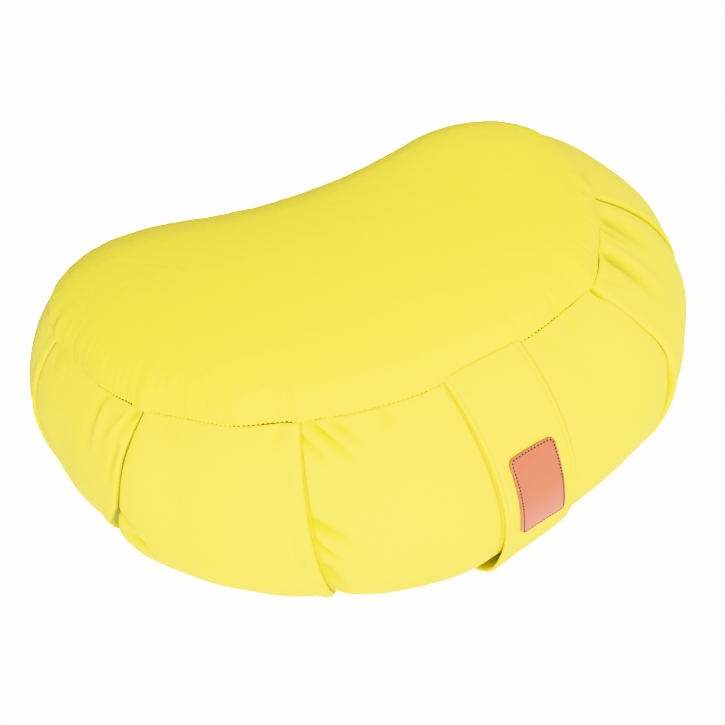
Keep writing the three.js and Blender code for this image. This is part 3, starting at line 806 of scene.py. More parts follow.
EDGE_OUT, GAPE_BACK, TUCK_BACK = 1.75, 1.3, 0.9
HEAD_CORNER, GUESSED_HEAD_CORNER, CORNER_REACH = 1.5, 0.4, 7.0
# length of each wave in mm, and its height
pucker_waves = [(rng.uniform(0, math.tau), length, size) for length, size in (
    (5.2, 0.10), (7.4, 0.16), (10.3, 0.18), (15.5, 0.22), (27.0, 0.25))]


def pucker(at):
    """Height of the uneven waves between the stitches, in mm."""
    total = np.zeros_like(at)
    for start, length, size in pucker_waves:
        turns = round(SEAM_LENGTH / length)
        total += size * np.sin(math.tau * turns * at / SEAM_LENGTH + start)
    return total


def stitch_pull(at):
    """One where a stitch pulls the panel's edge in, minus one between two stitches."""
    turns = round(SEAM_LENGTH / STITCH_PITCH)
    return np.cos(math.tau * turns * (at + SEAM_LENGTH / 2) / SEAM_LENGTH)


def seam_gape(at):
    """How far the band gapes from the panel's edge, as a share."""
    at = (at + SEAM_LENGTH / 2) % SEAM_LENGTH - SEAM_LENGTH / 2
    return np.interp(at, SEAM_GAPES[:, 0], SEAM_GAPES[:, 1])


def panel_edge(at):
    """How far the panel's edge stands out from the seam, in mm."""
    out = EDGE_OUT - GAPE_BACK * seam_gape(at) - TUCK_BACK * tuck(at)
    for name, head_at, *_ in PLEATS:
        gap = (at - head_at + SEAM_LENGTH / 2) % SEAM_LENGTH - SEAM_LENGTH / 2
        corner = GUESSED_HEAD_CORNER if name in GUESSED_PLEATS else HEAD_CORNER
        out = out + corner * np.exp(-((gap / CORNER_REACH) ** 2))
    return out


print(round(SEAM_LENGTH / STITCH_PITCH), "stitches fit round the seam")

# %% Rings of the panel's face
PANEL_COLUMNS = 2100
panel_at = np.arange(PANEL_COLUMNS) / PANEL_COLUMNS * SEAM_LENGTH - SEAM_LENGTH / 2
panel_rows = np.concatenate([[0.97], np.linspace(0.93, 0.13, 19), np.linspace(0.115, 0.006, 13)])
edge_out = panel_edge(panel_at)
upper = []
for share in panel_rows:
    level = np.full(PANEL_COLUMNS, share)
    fade = max(0.0, 1 - share / 0.5) ** 2
    ring = crown_points(panel_at, level, 0.0, edge_out * fade)
    near = np.exp(-share / 0.09)
    ring[:, 2] += pucker(panel_at) * near - 0.3 * tuck(panel_at) * np.exp(-share / 0.12)
    upper.append(ring)
print(len(upper), "rings on the panel's face")

# %% Turn the panel's edge under and close it
# mm further out, mm lower, and how far a stitch pulls the ring in
RIM = [
    (0.35, -1.6, 0), (0.6, -0.9, 0.12), (0.7, -0.2, 0.4), (0.55, 0.5, 0.5), (0.1, 1.0, 0.3), (-0.8, 1.3, 0)]


def edge_ring(out, lower, pull):
    """One ring of the panel's turned edge."""
    reach = edge_out + out - pull * stitch_pull(panel_at)
    ring = crown_points(panel_at, np.zeros(PANEL_COLUMNS), lower, reach)
    ring[:, 2] += 0.6 * pucker(panel_at) - 0.4 * tuck(panel_at)
    return ring


rim = [edge_ring(*row) for row in RIM]
under = [crown_points(panel_at, np.full(PANEL_COLUMNS, share), SHEET, edge_out * 0.4) for share in
         (0.06, 0.2, 0.5, 0.9)]
panel_rings = np.array(upper + rim + under)
panel_uv = np.zeros((len(panel_rings), PANEL_COLUMNS + 1, 2))
panel_uv[:, :-1] = panel_rings[..., :2] * MM
panel_uv[:, -1] = panel_uv[:, 0]
panel = ring_skin("top_panel_cloth", panel_rings, panel_uv)
print("top panel:", len(panel.data.polygons), "faces")

# %% [markdown]
# ## The bottom panel
# The bottom panel mirrors the idea: a sheet sewn to the foot of the band. The weight presses it flat on
# the floor, and only near its seam does it lift, in a shallow bevel.

# %% Loft the bottom panel
BASE_COLUMNS = 520
base_at = np.arange(BASE_COLUMNS) / BASE_COLUMNS * SEAM_LENGTH - SEAM_LENGTH / 2


# share of the way in to the spine, height in mm, mm further out, and how much of the pucker shows
BASE_RINGS = [
    (0.22, 2.0, 0, 0), (0.12, 3.3, 0, 0), (0.04, 5.0, 0, 0), (0, 5.9, 0.2, 0.4), (0, 5.6, 1.0, 0.6),
    (0, 5.0, 1.35, 0.6), (0, 4.3, 1.2, 0.6), (0, 3.8, 0.6, 0.6), (0.03, 3.0, 0, 0.5), (0.07, 2.0, 0, 0.3),
    (0.12, 1.1, 0, 0.1), (0.18, 0.35, 0, 0), (0.24, 0, 0, 0),
]


def base_ring(share, height, out, waves):
    """One ring of the bottom panel, from its upper side round the edge to the floor."""
    ring = foot_points(base_at, share, height, out)
    ring[:, 2] += pucker(base_at) * waves
    return ring


base_rings = np.array([base_ring(*row) for row in BASE_RINGS])
base_uv = np.zeros((len(base_rings), BASE_COLUMNS + 1, 2))
base_uv[:, :-1] = base_rings[..., :2] * MM
base_uv[:, -1] = base_uv[:, 0]
base = ring_skin("bottom_panel_cloth", base_rings, base_uv)
print("bottom panel:", len(base.data.polygons), "faces")

# %% [markdown]
# ## The handle
# The handle is a wide strap of doubled cotton, topstitched along both edges. It is sewn in at the top seam
# and at the foot, and its lower half bows away from the band, more on the left, so that fingers fit behind
# it. Its section is modelled as one loop of points: a softly padded face, a shallow channel under each row
# of stitches, a rounded fold at each edge, and a flat back.

# %% Course of the strap
STRAP_THICK = 2.4
# the strap's direction is taken over this share of the way down, to both sides
COURSE_STEP = 0.006
# share of the way down, then how many mm it stands off the band at its left edge and at its right edge
STANDOFF = np.array([
    (0, 0.8, 0.8), (0.12, 1.6, 1.4), (0.42, 1.8, 1.4), (0.66, 3.1, 1.1), (0.84, 7.8, 1.4), (0.94, 5.6, 1.2),
    (1, 1.2, 1.0)])
print("handle stands off by up to", STANDOFF[:, 1:].max(), "mm")


def strap_point(aside, down):
    """Inner face of the strap: aside in mm from its middle, down from seam to seam."""
    at = strap_place(aside, down)
    left, right = (through(down, STANDOFF[:, 0], STANDOFF[:, k]) for k in (1, 2))
    off = left + (right - left) * (aside / STRAP_WIDTH + 0.5)
    return band(at, down, off + 0.4 * lumps(at, down) + 0.6)


def strap_frame(aside, down):
    """Point and outward direction of the strap's face."""
    high, low = np.clip(down + COURSE_STEP, 0, 1), np.clip(down - COURSE_STEP, 0, 1)
    along = strap_point(aside, high) - strap_point(aside, low)
    side = strap_point(aside + 1, down) - strap_point(aside - 1, down)
    normal = np.cross(along, side)
    return strap_point(aside, down), normal / np.linalg.norm(normal, axis=-1, keepdims=True)


# %% Section of the strap
STITCH_INSET = 2.6
# the strap's folded edge is round: height of its widest place, and its radius
EDGE_LEVEL, EDGE_ROUND = 1.2, 1.3
half = STRAP_WIDTH / 2
face = np.concatenate([
    [-half, -half + 0.35, -half + 0.9, -half + 1.5, -half + 2.0, -half + 2.4, -half + 2.8, -half + 3.3],
    np.linspace(-half + 4.2, half - 4.2, 27),
    [half - 3.3, half - 2.8, half - 2.4, half - 2.0, half - 1.5, half - 0.9, half - 0.35, half]])


def strap_lift(aside, along):
    """Height of the strap's face over its back, with its stitch channels and their small puckers."""
    from_edge = half - np.abs(aside)
    body = STRAP_THICK + 0.5 * (1 - (aside / half) ** 2)
    round_edge = np.sqrt(1 - (1 - np.clip(from_edge / EDGE_ROUND, 0, 1)) ** 2)
    channel = 0.6 * np.exp(-(((from_edge - STITCH_INSET) / 0.7) ** 2))
    ripple = 0.16 * np.sin(along / 1.0 + 0.9 * np.sin(along / 5.3)) * np.exp(-((from_edge - 3.4) / 3.0) ** 2)
    wave = 0.22 * np.sin(along / 7.1 + aside * 0.05) * np.sin(along / 17.0 + 1.3)
    return EDGE_LEVEL + (body - EDGE_LEVEL) * round_edge - channel + ripple * round_edge + wave * round_edge


# %% Loft the strap
strap_down = np.concatenate([[0.0, 0.006], np.linspace(0.014, 0.99, 150), [0.996, 1.0]])
strap_run = strap_down * BAND_HEIGHT


def strap_net(aside):
    """Points and outward directions of the strap's inner face, a row for each step down."""
    shape = (len(strap_down), len(aside))
    return strap_frame(np.broadcast_to(aside, shape), np.broadcast_to(strap_down[:, None], shape))


rows_face, normals_face = strap_net(face)
face_lift = strap_lift(face[None, :], strap_run[:, None])
front_face = rows_face + normals_face * face_lift[..., None]
back_aside = face[1:-1][::-1][::2]
rows_back, normals_back = strap_net(back_aside)
back_round = np.sqrt(1 - (1 - np.clip((half - np.abs(back_aside)) / EDGE_ROUND, 0, 1)) ** 2)
back_lift = EDGE_LEVEL - EDGE_LEVEL * back_round
back_face = rows_back + normals_back * back_lift[None, :, None]
strap_rings = np.concatenate([front_face, back_face], 1)
strap_uv = np.zeros((len(strap_down), strap_rings.shape[1] + 1, 2))
loop = np.concatenate([face, -back_aside + 2 * half, [3 * half]])
strap_uv[..., 0] = loop * MM
strap_uv[..., 1] = strap_run[:, None] * MM
strap = ring_skin("handle_strap", strap_rings, strap_uv)
print("handle:", len(strap.data.polygons), "faces")

# %% [markdown]
# ## The leather patch
# The patch is a small rectangle of thin leather with rounded corners, sewn on all round. Its surface is
# laid over the strap's face: every point is found from its own place on the strap, then lifted by the
# leather's thickness. The cut edge is rounded, and the thread pulls a narrow channel into the surface.

# %% Patch surface
# mm right of the strap's middle, and where the patch begins and ends as shares of the way down
PATCH_ASIDE, PATCH_FROM, PATCH_TO = -0.4, 0.291, 0.563
PATCH_WIDTH, PATCH_TALL, PATCH_CORNER, PATCH_THICK = 33.2, 57.0, 4.3, 1.6
PATCH_STITCH_INSET = 1.35
# depth and width of the channel under the stitches, and how far the leather lies above the strap's back
CHANNEL_DEPTH, CHANNEL_WIDTH = 0.30, 0.55
PATCH_GROUND = STRAP_THICK + 0.95


def patch_edge_gap(x, y):
    """Distance in mm from a place on the patch in to its rounded outline."""
    qx = np.abs(x) - (PATCH_WIDTH / 2 - PATCH_CORNER)
    qy = np.abs(y) - (PATCH_TALL / 2 - PATCH_CORNER)
    outside = np.hypot(np.maximum(qx, 0), np.maximum(qy, 0))
    return PATCH_CORNER - outside - np.minimum(np.maximum(qx, qy), 0)


def patch_place(x, y, lift):
    """Point of the patch x mm right of its middle and y mm below it, lifted off the strap's back."""
    down = (PATCH_FROM + PATCH_TO) / 2 + y / PATCH_TALL * (PATCH_TO - PATCH_FROM)
    point, normal = strap_frame(PATCH_ASIDE + x, down)
    return point + normal * lift[..., None]


def patch_rows(count_x=54, count_y=96):
    """A net whose border runs along the rounded outline."""
    v = np.linspace(-1, 1, count_y + 1)
    y = PATCH_TALL / 2 * np.sin(v * np.pi / 2)
    cut = np.maximum(np.abs(y) - (PATCH_TALL / 2 - PATCH_CORNER), 0)
    wide = PATCH_WIDTH / 2 - PATCH_CORNER + np.sqrt(np.maximum(PATCH_CORNER**2 - cut**2, 0))
    u = np.sin(np.linspace(-1, 1, count_x + 1) * np.pi / 2)
    return wide[:, None] * u[None, :], np.broadcast_to(y[:, None], (count_y + 1, count_x + 1))


patch_x, patch_y = patch_rows()
gap = np.maximum(patch_edge_gap(patch_x, patch_y), 0)
skin = PATCH_THICK * (0.45 + 0.55 * np.sqrt(1 - (1 - np.clip(gap / 0.9, 0, 1)) ** 2))
skin -= CHANNEL_DEPTH * np.exp(-(((gap - PATCH_STITCH_INSET) / CHANNEL_WIDTH) ** 2))
skin += 0.12 * np.clip((gap - 2.6) / 5, 0, 1)
patch_front = patch_place(patch_x, patch_y, PATCH_GROUND + skin)
patch_back = patch_place(patch_x, patch_y, np.full_like(patch_x, PATCH_GROUND - 0.6))
print("patch net:", patch_x.shape[0], "by", patch_x.shape[1], "points")


# %% Close the patch
def two_sided(name, front_net, back_net, uv):
    """A closed sheet from two nets of the same size, joined round their border."""
    rows, cols = front_net.shape[:2]
    index = np.arange(rows * cols).reshape(rows, cols)
    faces, corners = [], []
    for shift, flip in ((0, False), (rows * cols, True)):
        for r in range(rows - 1):
            for c in range(cols - 1):
                quad = [(r, c), (r + 1, c), (r + 1, c + 1), (r, c + 1)]
                if flip:
                    quad = quad[::-1]
                faces.append(tuple(int(index[q]) + shift for q in quad))
                corners.append([uv[q] for q in quad])
    border = [(0, c) for c in range(cols - 1)] + [(r, cols - 1) for r in range(rows - 1)]
    border += [(rows - 1, c) for c in range(cols - 1, 0, -1)] + [(r, 0) for r in range(rows - 1, 0, -1)]
    for k, p in enumerate(border):
        q = border[(k + 1) % len(border)]
        i, j = int(index[p]), int(index[q])
        faces.append((i, j, j + rows * cols, i + rows * cols))
        corners.append([uv[p], uv[q], uv[q], uv[p]])
    points = np.concatenate([front_net.reshape(-1, 3), back_net.reshape(-1, 3)])
    return mesh_object(name, points, faces, corners)


patch = two_sided("sewn_patch", patch_front, patch_back, np.stack([patch_x, -patch_y], -1) * MM)
print("patch:", len(patch.data.polygons), "faces")

# %% [markdown]
# ## Stitches
# Each row of stitches is one mesh of small thread lengths: a lock stitch shows as a row of short, slightly
# sunken ovals. We sample the line of the seam evenly, and place one oval per stitch along it, laid in the
# surface. A thread goes down a needle hole at both ends of a stitch, so each oval dips there.

# %% Stitch maker
# how far a stitch's ends dip, as a share of the thread
END_DIP = 0.75


def stitch_row(name, points, normals, pitch, thread, share=0.72, sides=7, rings=7):
    """Thread lengths along a line of points in mm, with the surface's normals."""
    steps = np.linalg.norm(np.diff(points, axis=0), axis=1)
    run = np.concatenate([[0], np.cumsum(steps)])
    count = max(1, int(run[-1] / pitch))
    pitch = run[-1] / count
    t = np.linspace(-1, 1, rings)
    vertices, faces, corners = [], [], []
    for k in range(count):
        s = (k + 0.5) * pitch + t * pitch * share / 2
        centre = np.stack([np.interp(s, run, points[:, i]) for i in range(3)], -1)
        normal = np.stack([np.interp(s, run, normals[:, i]) for i in range(3)], -1)
        normal /= np.linalg.norm(normal, axis=1, keepdims=True)
        along = np.gradient(centre, axis=0)
        along /= np.linalg.norm(along, axis=1, keepdims=True)
        side = np.cross(along, normal)
        girth = thread / 2 * np.sqrt(np.maximum(1 - (t * 0.985) ** 4, 0.02))
        dip = -thread * END_DIP * t**2
        base_index = k * rings * sides
        for r in range(rings):
            for a in range(sides):
                angle = math.tau * a / sides
                vertices.append(centre[r] + normal[r] * (dip[r] + girth[r] * math.cos(angle) * 0.8)
                                + side[r] * girth[r] * math.sin(angle))
        for r in range(rings - 1):
            for a in range(sides):
                b = (a + 1) % sides
                faces.append(tuple(base_index + i for i in (
                    r * sides + a, r * sides + b, (r + 1) * sides + b, (r + 1) * sides + a)))
                corners.append([(s[r] * MM, 0)] * 4)
        faces.append(tuple(base_index + a for a in range(sides - 1, -1, -1)))
        corners.append([(0, 0)] * sides)
        faces.append(tuple(base_index + (rings - 1) * sides + a for a in range(sides)))
        corners.append([(0, 0)] * sides)
    obj = mesh_object(name, vertices, faces, corners)
    bm = bmesh.new()
    bm.from_mesh(obj.data)
    bmesh.ops.recalc_face_normals(bm, faces=bm.faces)
    bm.to_mesh(obj.data)
    bm.free()
    print(name, count, "stitches of", round(pitch, 2), "mm")
    return obj


# %% Stitches of the two seams
FOOT_STITCH_PITCH = 3.4
seam_at = np.arange(0, SEAM_LENGTH + 0.01, 0.8) - SEAM_LENGTH / 2
p = seam(seam_at)
out_direction = np.stack([p["nx"], p["ny"], np.zeros_like(seam_at)], -1)
seam_line = band(seam_at, np.zeros_like(seam_at), panel_edge(seam_at) + 0.45)
seam_line[:, 2] -= 0.75 + 0.4 * tuck(seam_at) - 0.6 * pucker(seam_at)
seam_normal = out_direction * 0.8 + np.array([0, 0, 0.6])
seam_stitches = stitch_row("seam_stitches", seam_line, seam_normal, STITCH_PITCH, 0.7, share=0.42)
foot_line = band(seam_at, np.ones_like(seam_at), 1.2)
foot_line[:, 2] += 1.9 + 0.6 * pucker(seam_at)
foot_stitches = stitch_row("foot_stitches", foot_line, out_direction, FOOT_STITCH_PITCH, 0.8)

# %% Stitches of the handle
STRAP_STITCH_PITCH = 3.0
strap_lines = []
line_down = np.linspace(0.02, 0.985, 260)
for side_name, edge_side in (("left", -1), ("right", 1)):
    aside = np.full_like(line_down, edge_side * (half - STITCH_INSET))
    point, normal = strap_frame(aside, line_down)
    lifted = point + normal * (strap_lift(aside, line_down * BAND_HEIGHT) + 0.16)[:, None]
    strap_lines.append(stitch_row(f"handle_stitches_{side_name}", lifted, normal, STRAP_STITCH_PITCH, 0.7))


# %% Stitches of the patch
PATCH_STITCH_PITCH = 2.2


def rounded_walk(t, wide, tall, corner):
    """Walk round a rounded rectangle: t from 0 to 1."""
    straight = [(wide - 2 * corner), (tall - 2 * corner)] * 2
    bend = math.pi / 2 * corner
    s = t * (sum(straight) + 4 * bend)
    x, y = np.zeros_like(t), np.zeros_like(t)
    corner_at = [(1, -1), (1, 1), (-1, 1), (-1, -1)]
    travel = 0.0
    for k in range(4):
        cx, cy = corner_at[k][0] * (wide / 2 - corner), corner_at[k][1] * (tall / 2 - corner)
        angle0 = -math.pi / 2 + k * math.pi / 2
        dx, dy = -math.sin(angle0), math.cos(angle0)
        on = (s >= travel) & (s <= travel + straight[k])
        x[on] = cx + corner * math.cos(angle0) + dx * (s[on] - travel - straight[k])
        y[on] = cy + corner * math.sin(angle0) + dy * (s[on] - travel - straight[k])
        travel += straight[k]
        on = (s > travel) & (s <= travel + bend + 1e-9)
        angle = angle0 + (s[on] - travel) / corner
        x[on], y[on] = cx + corner * np.cos(angle), cy + corner * np.sin(angle)
        travel += bend
    return x, y


walk_x, walk_y = rounded_walk(
    np.linspace(0, 1, 481), PATCH_WIDTH - 2 * PATCH_STITCH_INSET, PATCH_TALL - 2 * PATCH_STITCH_INSET,
    PATCH_CORNER - PATCH_STITCH_INSET)
stitch_ground = np.full_like(walk_x, PATCH_GROUND + PATCH_THICK - CHANNEL_DEPTH + 0.22)
walk_points = patch_place(walk_x, walk_y, stitch_ground)
walk_normals = patch_place(walk_x, walk_y, stitch_ground + 1) - walk_points
patch_stitches = stitch_row(
    "patch_stitches", walk_points, walk_normals, PATCH_STITCH_PITCH, 0.95, share=0.66)

# %% [markdown]
# ## Cotton, leather and thread
# All the cotton is one cloth, so its look is built once as node groups and placed in each material with
# its own values. The first group is a plain weave: two crossed sets of threads, each rising where the
# other dips. The second mixes slow colour changes, as in dyed cotton, with finer slubs. The third finds
# the worn edges, and the folds that get painted shade, from how the surface bends.

# %% Node helpers
def new_group(name, inputs, outputs):
    """An empty node group with named sockets; inputs and outputs are (name, type, default) rows."""
    group = bpy.data.node_groups.new(name, "ShaderNodeTree")
    for title, kind, default in inputs:
        socket = group.interface.new_socket(name=title, in_out="INPUT", socket_type=kind)
        if default is not None:
            socket.default_value = default
    for title, kind in outputs:
        group.interface.new_socket(name=title, in_out="OUTPUT", socket_type=kind)
    return group, group.nodes.new("NodeGroupInput"), group.nodes.new("NodeGroupOutput")


def math_node(tree, operation, a, b=None, clamp=False):
    """A Math node fed by sockets or numbers; returns its output."""
    node = tree.nodes.new("ShaderNodeMath")
    node.operation = operation
    node.use_clamp = clamp
    for k, value in enumerate((a, b)):
        if value is None:
            continue
        if isinstance(value, (int, float)):
            node.inputs[k].default_value = value
        else:
            tree.links.new(value, node.inputs[k])
    return node.outputs[0]


def noise_node(tree, coordinates, scale, detail=3.0, roughness=0.5):
    """A Noise texture at the given coordinates; returns its grey value."""
    node = tree.nodes.new("ShaderNodeTexNoise")
    node.inputs["Detail"].default_value = detail
    node.inputs["Roughness"].default_value = roughness
    if isinstance(scale, (int, float)):
        node.inputs["Scale"].default_value = scale
    else:
        tree.links.new(scale, node.inputs["Scale"])
    tree.links.new(coordinates, node.inputs["Vector"])
    return node.outputs["Fac"]


def mix_colour(tree, factor, first, second):
    """A Mix node for colours, fed by sockets or values; its sockets 6 and 7 are the two colours."""
    node = tree.nodes.new("ShaderNodeMix")
    node.data_type = "RGBA"
    for socket, value in ((node.inputs["Factor"], factor), (node.inputs[6], first), (node.inputs[7], second)):
        if isinstance(value, (int, float, tuple)):
            socket.default_value = value
        else:
            tree.links.new(value, socket)
    return node.outputs[2]


def group_node(tree, group):
    """One of our own node groups, placed in a material."""
    node = tree.nodes.new("ShaderNodeGroup")
    node.node_tree = group
    return node


# %% Weave group
def build_weave_group():
    """Plain weave in cloth coordinates: height of the threads, and a mask of the gaps between them."""
    group, source, sink = new_group(
        "plain_weave",
        [("Cloth", "NodeSocketVector", None), ("Threads per metre", "NodeSocketFloat", 1600.0),
         ("Unevenness", "NodeSocketFloat", 0.25)],
        [("Height", "NodeSocketFloat"), ("Gaps", "NodeSocketFloat")])
    drift = noise_node(group, source.outputs["Cloth"], 260.0, 2.0)
    centred = math_node(group, "SUBTRACT", drift, 0.5)
    wobble = math_node(group, "MULTIPLY", centred, source.outputs["Unevenness"])
    split = group.nodes.new("ShaderNodeSeparateXYZ")
    group.links.new(source.outputs["Cloth"], split.inputs[0])
    turns = math_node(group, "MULTIPLY", source.outputs["Threads per metre"], math.pi)
    threads = []
    for axis in ("X", "Y"):
        angle = math_node(group, "ADD", math_node(group, "MULTIPLY", split.outputs[axis], turns),
                          math_node(group, "MULTIPLY", wobble, 6.0))
        threads.append((math_node(group, "SINE", angle), math_node(group, "COSINE", angle)))
    (sx, cx), (sy, cy) = threads
    over = math_node(group, "MULTIPLY", sx, sy)
    warp = math_node(group, "MULTIPLY", math_node(group, "ABSOLUTE", cx), 0.5)
    weft = math_node(group, "MULTIPLY", math_node(group, "ABSOLUTE", cy), 0.5)
    body = math_node(group, "ADD", warp, weft)
    height = math_node(group, "ADD", body, math_node(group, "MULTIPLY", over, 0.35))
    gaps = math_node(group, "SUBTRACT", 1.0, math_node(group, "MULTIPLY", body, 1.3), clamp=True)
    group.links.new(height, sink.inputs["Height"])
    group.links.new(gaps, sink.inputs["Gaps"])
    return group


# %% Dye group
def build_dye_group():
    """Slow and fast changes of a dyed cloth's colour."""
    group, source, sink = new_group(
        "dyed_cotton",
        [("Place", "NodeSocketVector", None), ("Cloth", "NodeSocketVector", None),
         ("Colour", "NodeSocketColor", (0.8, 0.7, 0.1, 1)),
         ("Deep colour", "NodeSocketColor", (0.7, 0.6, 0.05, 1)),
         ("Patches", "NodeSocketFloat", 0.35), ("Slubs", "NodeSocketFloat", 0.15)],
        [("Colour", "NodeSocketColor"), ("Slub mask", "NodeSocketFloat")])
    slow = noise_node(group, source.outputs["Place"], 14.0, 3.0, 0.55)
    stretch = group.nodes.new("ShaderNodeVectorMath")
    stretch.operation = "MULTIPLY"
    stretch.inputs[1].default_value = (60.0, 900.0, 1.0)
    group.links.new(source.outputs["Cloth"], stretch.inputs[0])
    slub = noise_node(group, stretch.outputs[0], 1.0, 2.0)
    slow_share = math_node(group, "MULTIPLY", slow, source.outputs["Patches"])
    slub_share = math_node(group, "MULTIPLY", slub, source.outputs["Slubs"])
    share = math_node(group, "ADD", slow_share, slub_share, clamp=True)
    blend = mix_colour(group, share, source.outputs["Colour"], source.outputs["Deep colour"])
    group.links.new(blend, sink.inputs["Colour"])
    group.links.new(slub, sink.inputs["Slub mask"])
    return group


# %% Wear group
def build_wear_group():
    """Masks from the bend of the surface: the worn edges, and the folds that the cotton paints with shade."""
    group, source, sink = new_group(
        "edge_wear",
        [("Place", "NodeSocketVector", None), ("Breakup", "NodeSocketFloat", 90.0)],
        [("Worn", "NodeSocketFloat"), ("Folds", "NodeSocketFloat")])
    bend = group.nodes.new("ShaderNodeNewGeometry").outputs["Pointiness"]
    broken = noise_node(group, source.outputs["Place"], source.outputs["Breakup"], 4.0, 0.6)
    ridge = math_node(group, "MULTIPLY", math_node(group, "SUBTRACT", bend, 0.53), 9.0, clamp=True)
    hollow = math_node(group, "MULTIPLY", math_node(group, "SUBTRACT", 0.47, bend), 9.0, clamp=True)
    group.links.new(math_node(group, "MULTIPLY", ridge, broken), sink.inputs["Worn"])
    group.links.new(hollow, sink.inputs["Folds"])
    return group


WEAVE, DYE, WEAR = build_weave_group(), build_dye_group(), build_wear_group()
print("node groups:", WEAVE.name, DYE.name, WEAR.name)

# %% [markdown]
# ## The cotton itself
# Cotton scatters light softly and has short fibres that catch it at a grazing angle. A rough Principled
# shader with a little sheen gives both. The weave goes to the bump and, faintly, to the colour, as painted
# shade between the threads. Painted shade also darkens the folds: the colour reads the number that the
# bag's mesh keeps for how deep each point lies, and how the surface bends inward. Top panel, band and
# handle get their own materials and can be repainted apart, and band and handle have a paler yellow:
# painted light.

# %% Cotton colours
# the side's yellow is paler than the panel's: painted light, for the brighter light on band and handle
# as linear red, green, blue and alpha
YELLOW, SIDE_PAINTED_LIGHT_YELLOW = (0.84, 0.722, 0.068, 1), (0.84, 0.728, 0.098, 1)
DEEP_YELLOW, PALE_YELLOW = (0.76, 0.68, 0.035, 1), (0.90, 0.81, 0.22, 1)
FOLD_SHADE_YELLOW = (0.50, 0.46, 0.014, 1)
# how much of the painted fold shade shows in a full fold and at a sharp inward bend, of the deep colour
# painted as shade between the threads, and of the pale one on a worn edge
FOLD_PAINTED_SHADE, BEND_PAINTED_SHADE, GAP_SHADE, RUBBED = 0.9, 0.30, 0.18, 0.35


# %% Cotton material
def cotton(name, colour, threads=1500.0, bump=0.35, patches=0.35):
    """Dyed, woven cotton with painted shade in folds and between threads: threads per metre, strength of the
    weave's bump, and size of the colour patches.
    """
    material = bpy.data.materials.new(name)
    material.use_nodes = True
    tree = material.node_tree
    shader = tree.nodes["Principled BSDF"]
    shader.inputs["Specular IOR Level"].default_value = 0.25
    shader.inputs["Sheen Weight"].default_value = 0.12
    shader.inputs["Sheen Roughness"].default_value = 0.5
    shader.inputs["Sheen Tint"].default_value = (1.0, 0.98, 0.80, 1)
    coordinates = tree.nodes.new("ShaderNodeTexCoord")
    cloth = tree.nodes.new("ShaderNodeUVMap")
    cloth.uv_map = "cut"
    weave, dye, wear = (group_node(tree, g) for g in (WEAVE, DYE, WEAR))
    weave.inputs["Threads per metre"].default_value = threads
    dye.inputs["Colour"].default_value = colour
    dye.inputs["Deep colour"].default_value = DEEP_YELLOW
    dye.inputs["Patches"].default_value = patches
    tree.links.new(cloth.outputs["UV"], weave.inputs["Cloth"])
    tree.links.new(cloth.outputs["UV"], dye.inputs["Cloth"])
    tree.links.new(coordinates.outputs["Object"], dye.inputs["Place"])
    tree.links.new(coordinates.outputs["Object"], wear.inputs["Place"])
    between = math_node(tree, "MULTIPLY", weave.outputs["Gaps"], GAP_SHADE)
    shaded = mix_colour(tree, between, dye.outputs["Colour"], DEEP_YELLOW)
    # painted shade: mixed towards the fold colour by the mesh's hollow number and at inward bends
    fold = tree.nodes.new("ShaderNodeAttribute")
    fold.attribute_name = "hollow"
    kept = math_node(tree, "MULTIPLY", math_node(tree, "MAXIMUM", fold.outputs["Fac"], 0.0), FOLD_PAINTED_SHADE)
    bent = math_node(tree, "MULTIPLY", wear.outputs["Folds"], BEND_PAINTED_SHADE)
    folded = mix_colour(tree, math_node(tree, "ADD", bent, kept, clamp=True), shaded, FOLD_SHADE_YELLOW)
    worn = math_node(tree, "MULTIPLY", wear.outputs["Worn"], RUBBED)
    rubbed = mix_colour(tree, worn, folded, PALE_YELLOW)
    tree.links.new(rubbed, shader.inputs["Base Color"])
    rough = math_node(tree, "ADD", 0.78, math_node(tree, "MULTIPLY", dye.outputs["Slub mask"], 0.14))
    tree.links.new(rough, shader.inputs["Roughness"])
    thread_bump = tree.nodes.new("ShaderNodeBump")
    thread_bump.inputs["Strength"].default_value = bump
    thread_bump.inputs["Distance"].default_value = 0.00022
    tree.links.new(weave.outputs["Height"], thread_bump.inputs["Height"])
    soft_bump = tree.nodes.new("ShaderNodeBump")
    soft_bump.inputs["Strength"].default_value = 0.35
    soft_bump.inputs["Distance"].default_value = 0.0012
    crumple = noise_node(tree, coordinates.outputs["Object"], 110.0, 3.0, 0.55)
    tree.links.new(crumple, soft_bump.inputs["Height"])
    tree.links.new(thread_bump.outputs["Normal"], soft_bump.inputs["Normal"])
    tree.links.new(soft_bump.outputs["Normal"], shader.inputs["Normal"])
    return material


band_cotton = cotton("band_cotton", SIDE_PAINTED_LIGHT_YELLOW)
panel_cotton = cotton("panel_cotton", YELLOW, patches=0.45)
strap_cotton = cotton("strap_cotton", SIDE_PAINTED_LIGHT_YELLOW, threads=1350.0, bump=0.45)
print("cotton materials:", band_cotton.name, panel_cotton.name, strap_cotton.name)

# %% [markdown]
# ## Leather and thread
# The patch is smooth, salmon-tan leather with a fine grain: cells of a Voronoi texture for the pores, a
# slow noise for uneven tanning, and edges rubbed pale where the cut is rounded. Its lower half is painted
# paler: a painted highlight. The finish is half glossy, so a thin coat lies over the rough base.

# %% Leather material
LEATHER, LEATHER_DARK, LEATHER_PALE = (0.44, 0.155, 0.078, 1), (0.34, 0.105, 0.05, 1), (0.56, 0.25, 0.16, 1)
LEATHER_HIGHLIGHT, LEATHER_RUBBED = (0.57, 0.26, 0.225, 1), (0.74, 0.46, 0.36, 1)
# growth of the painted highlight's share for each metre up the patch, from none at its middle
HIGHLIGHT_GROWTH = -21.0


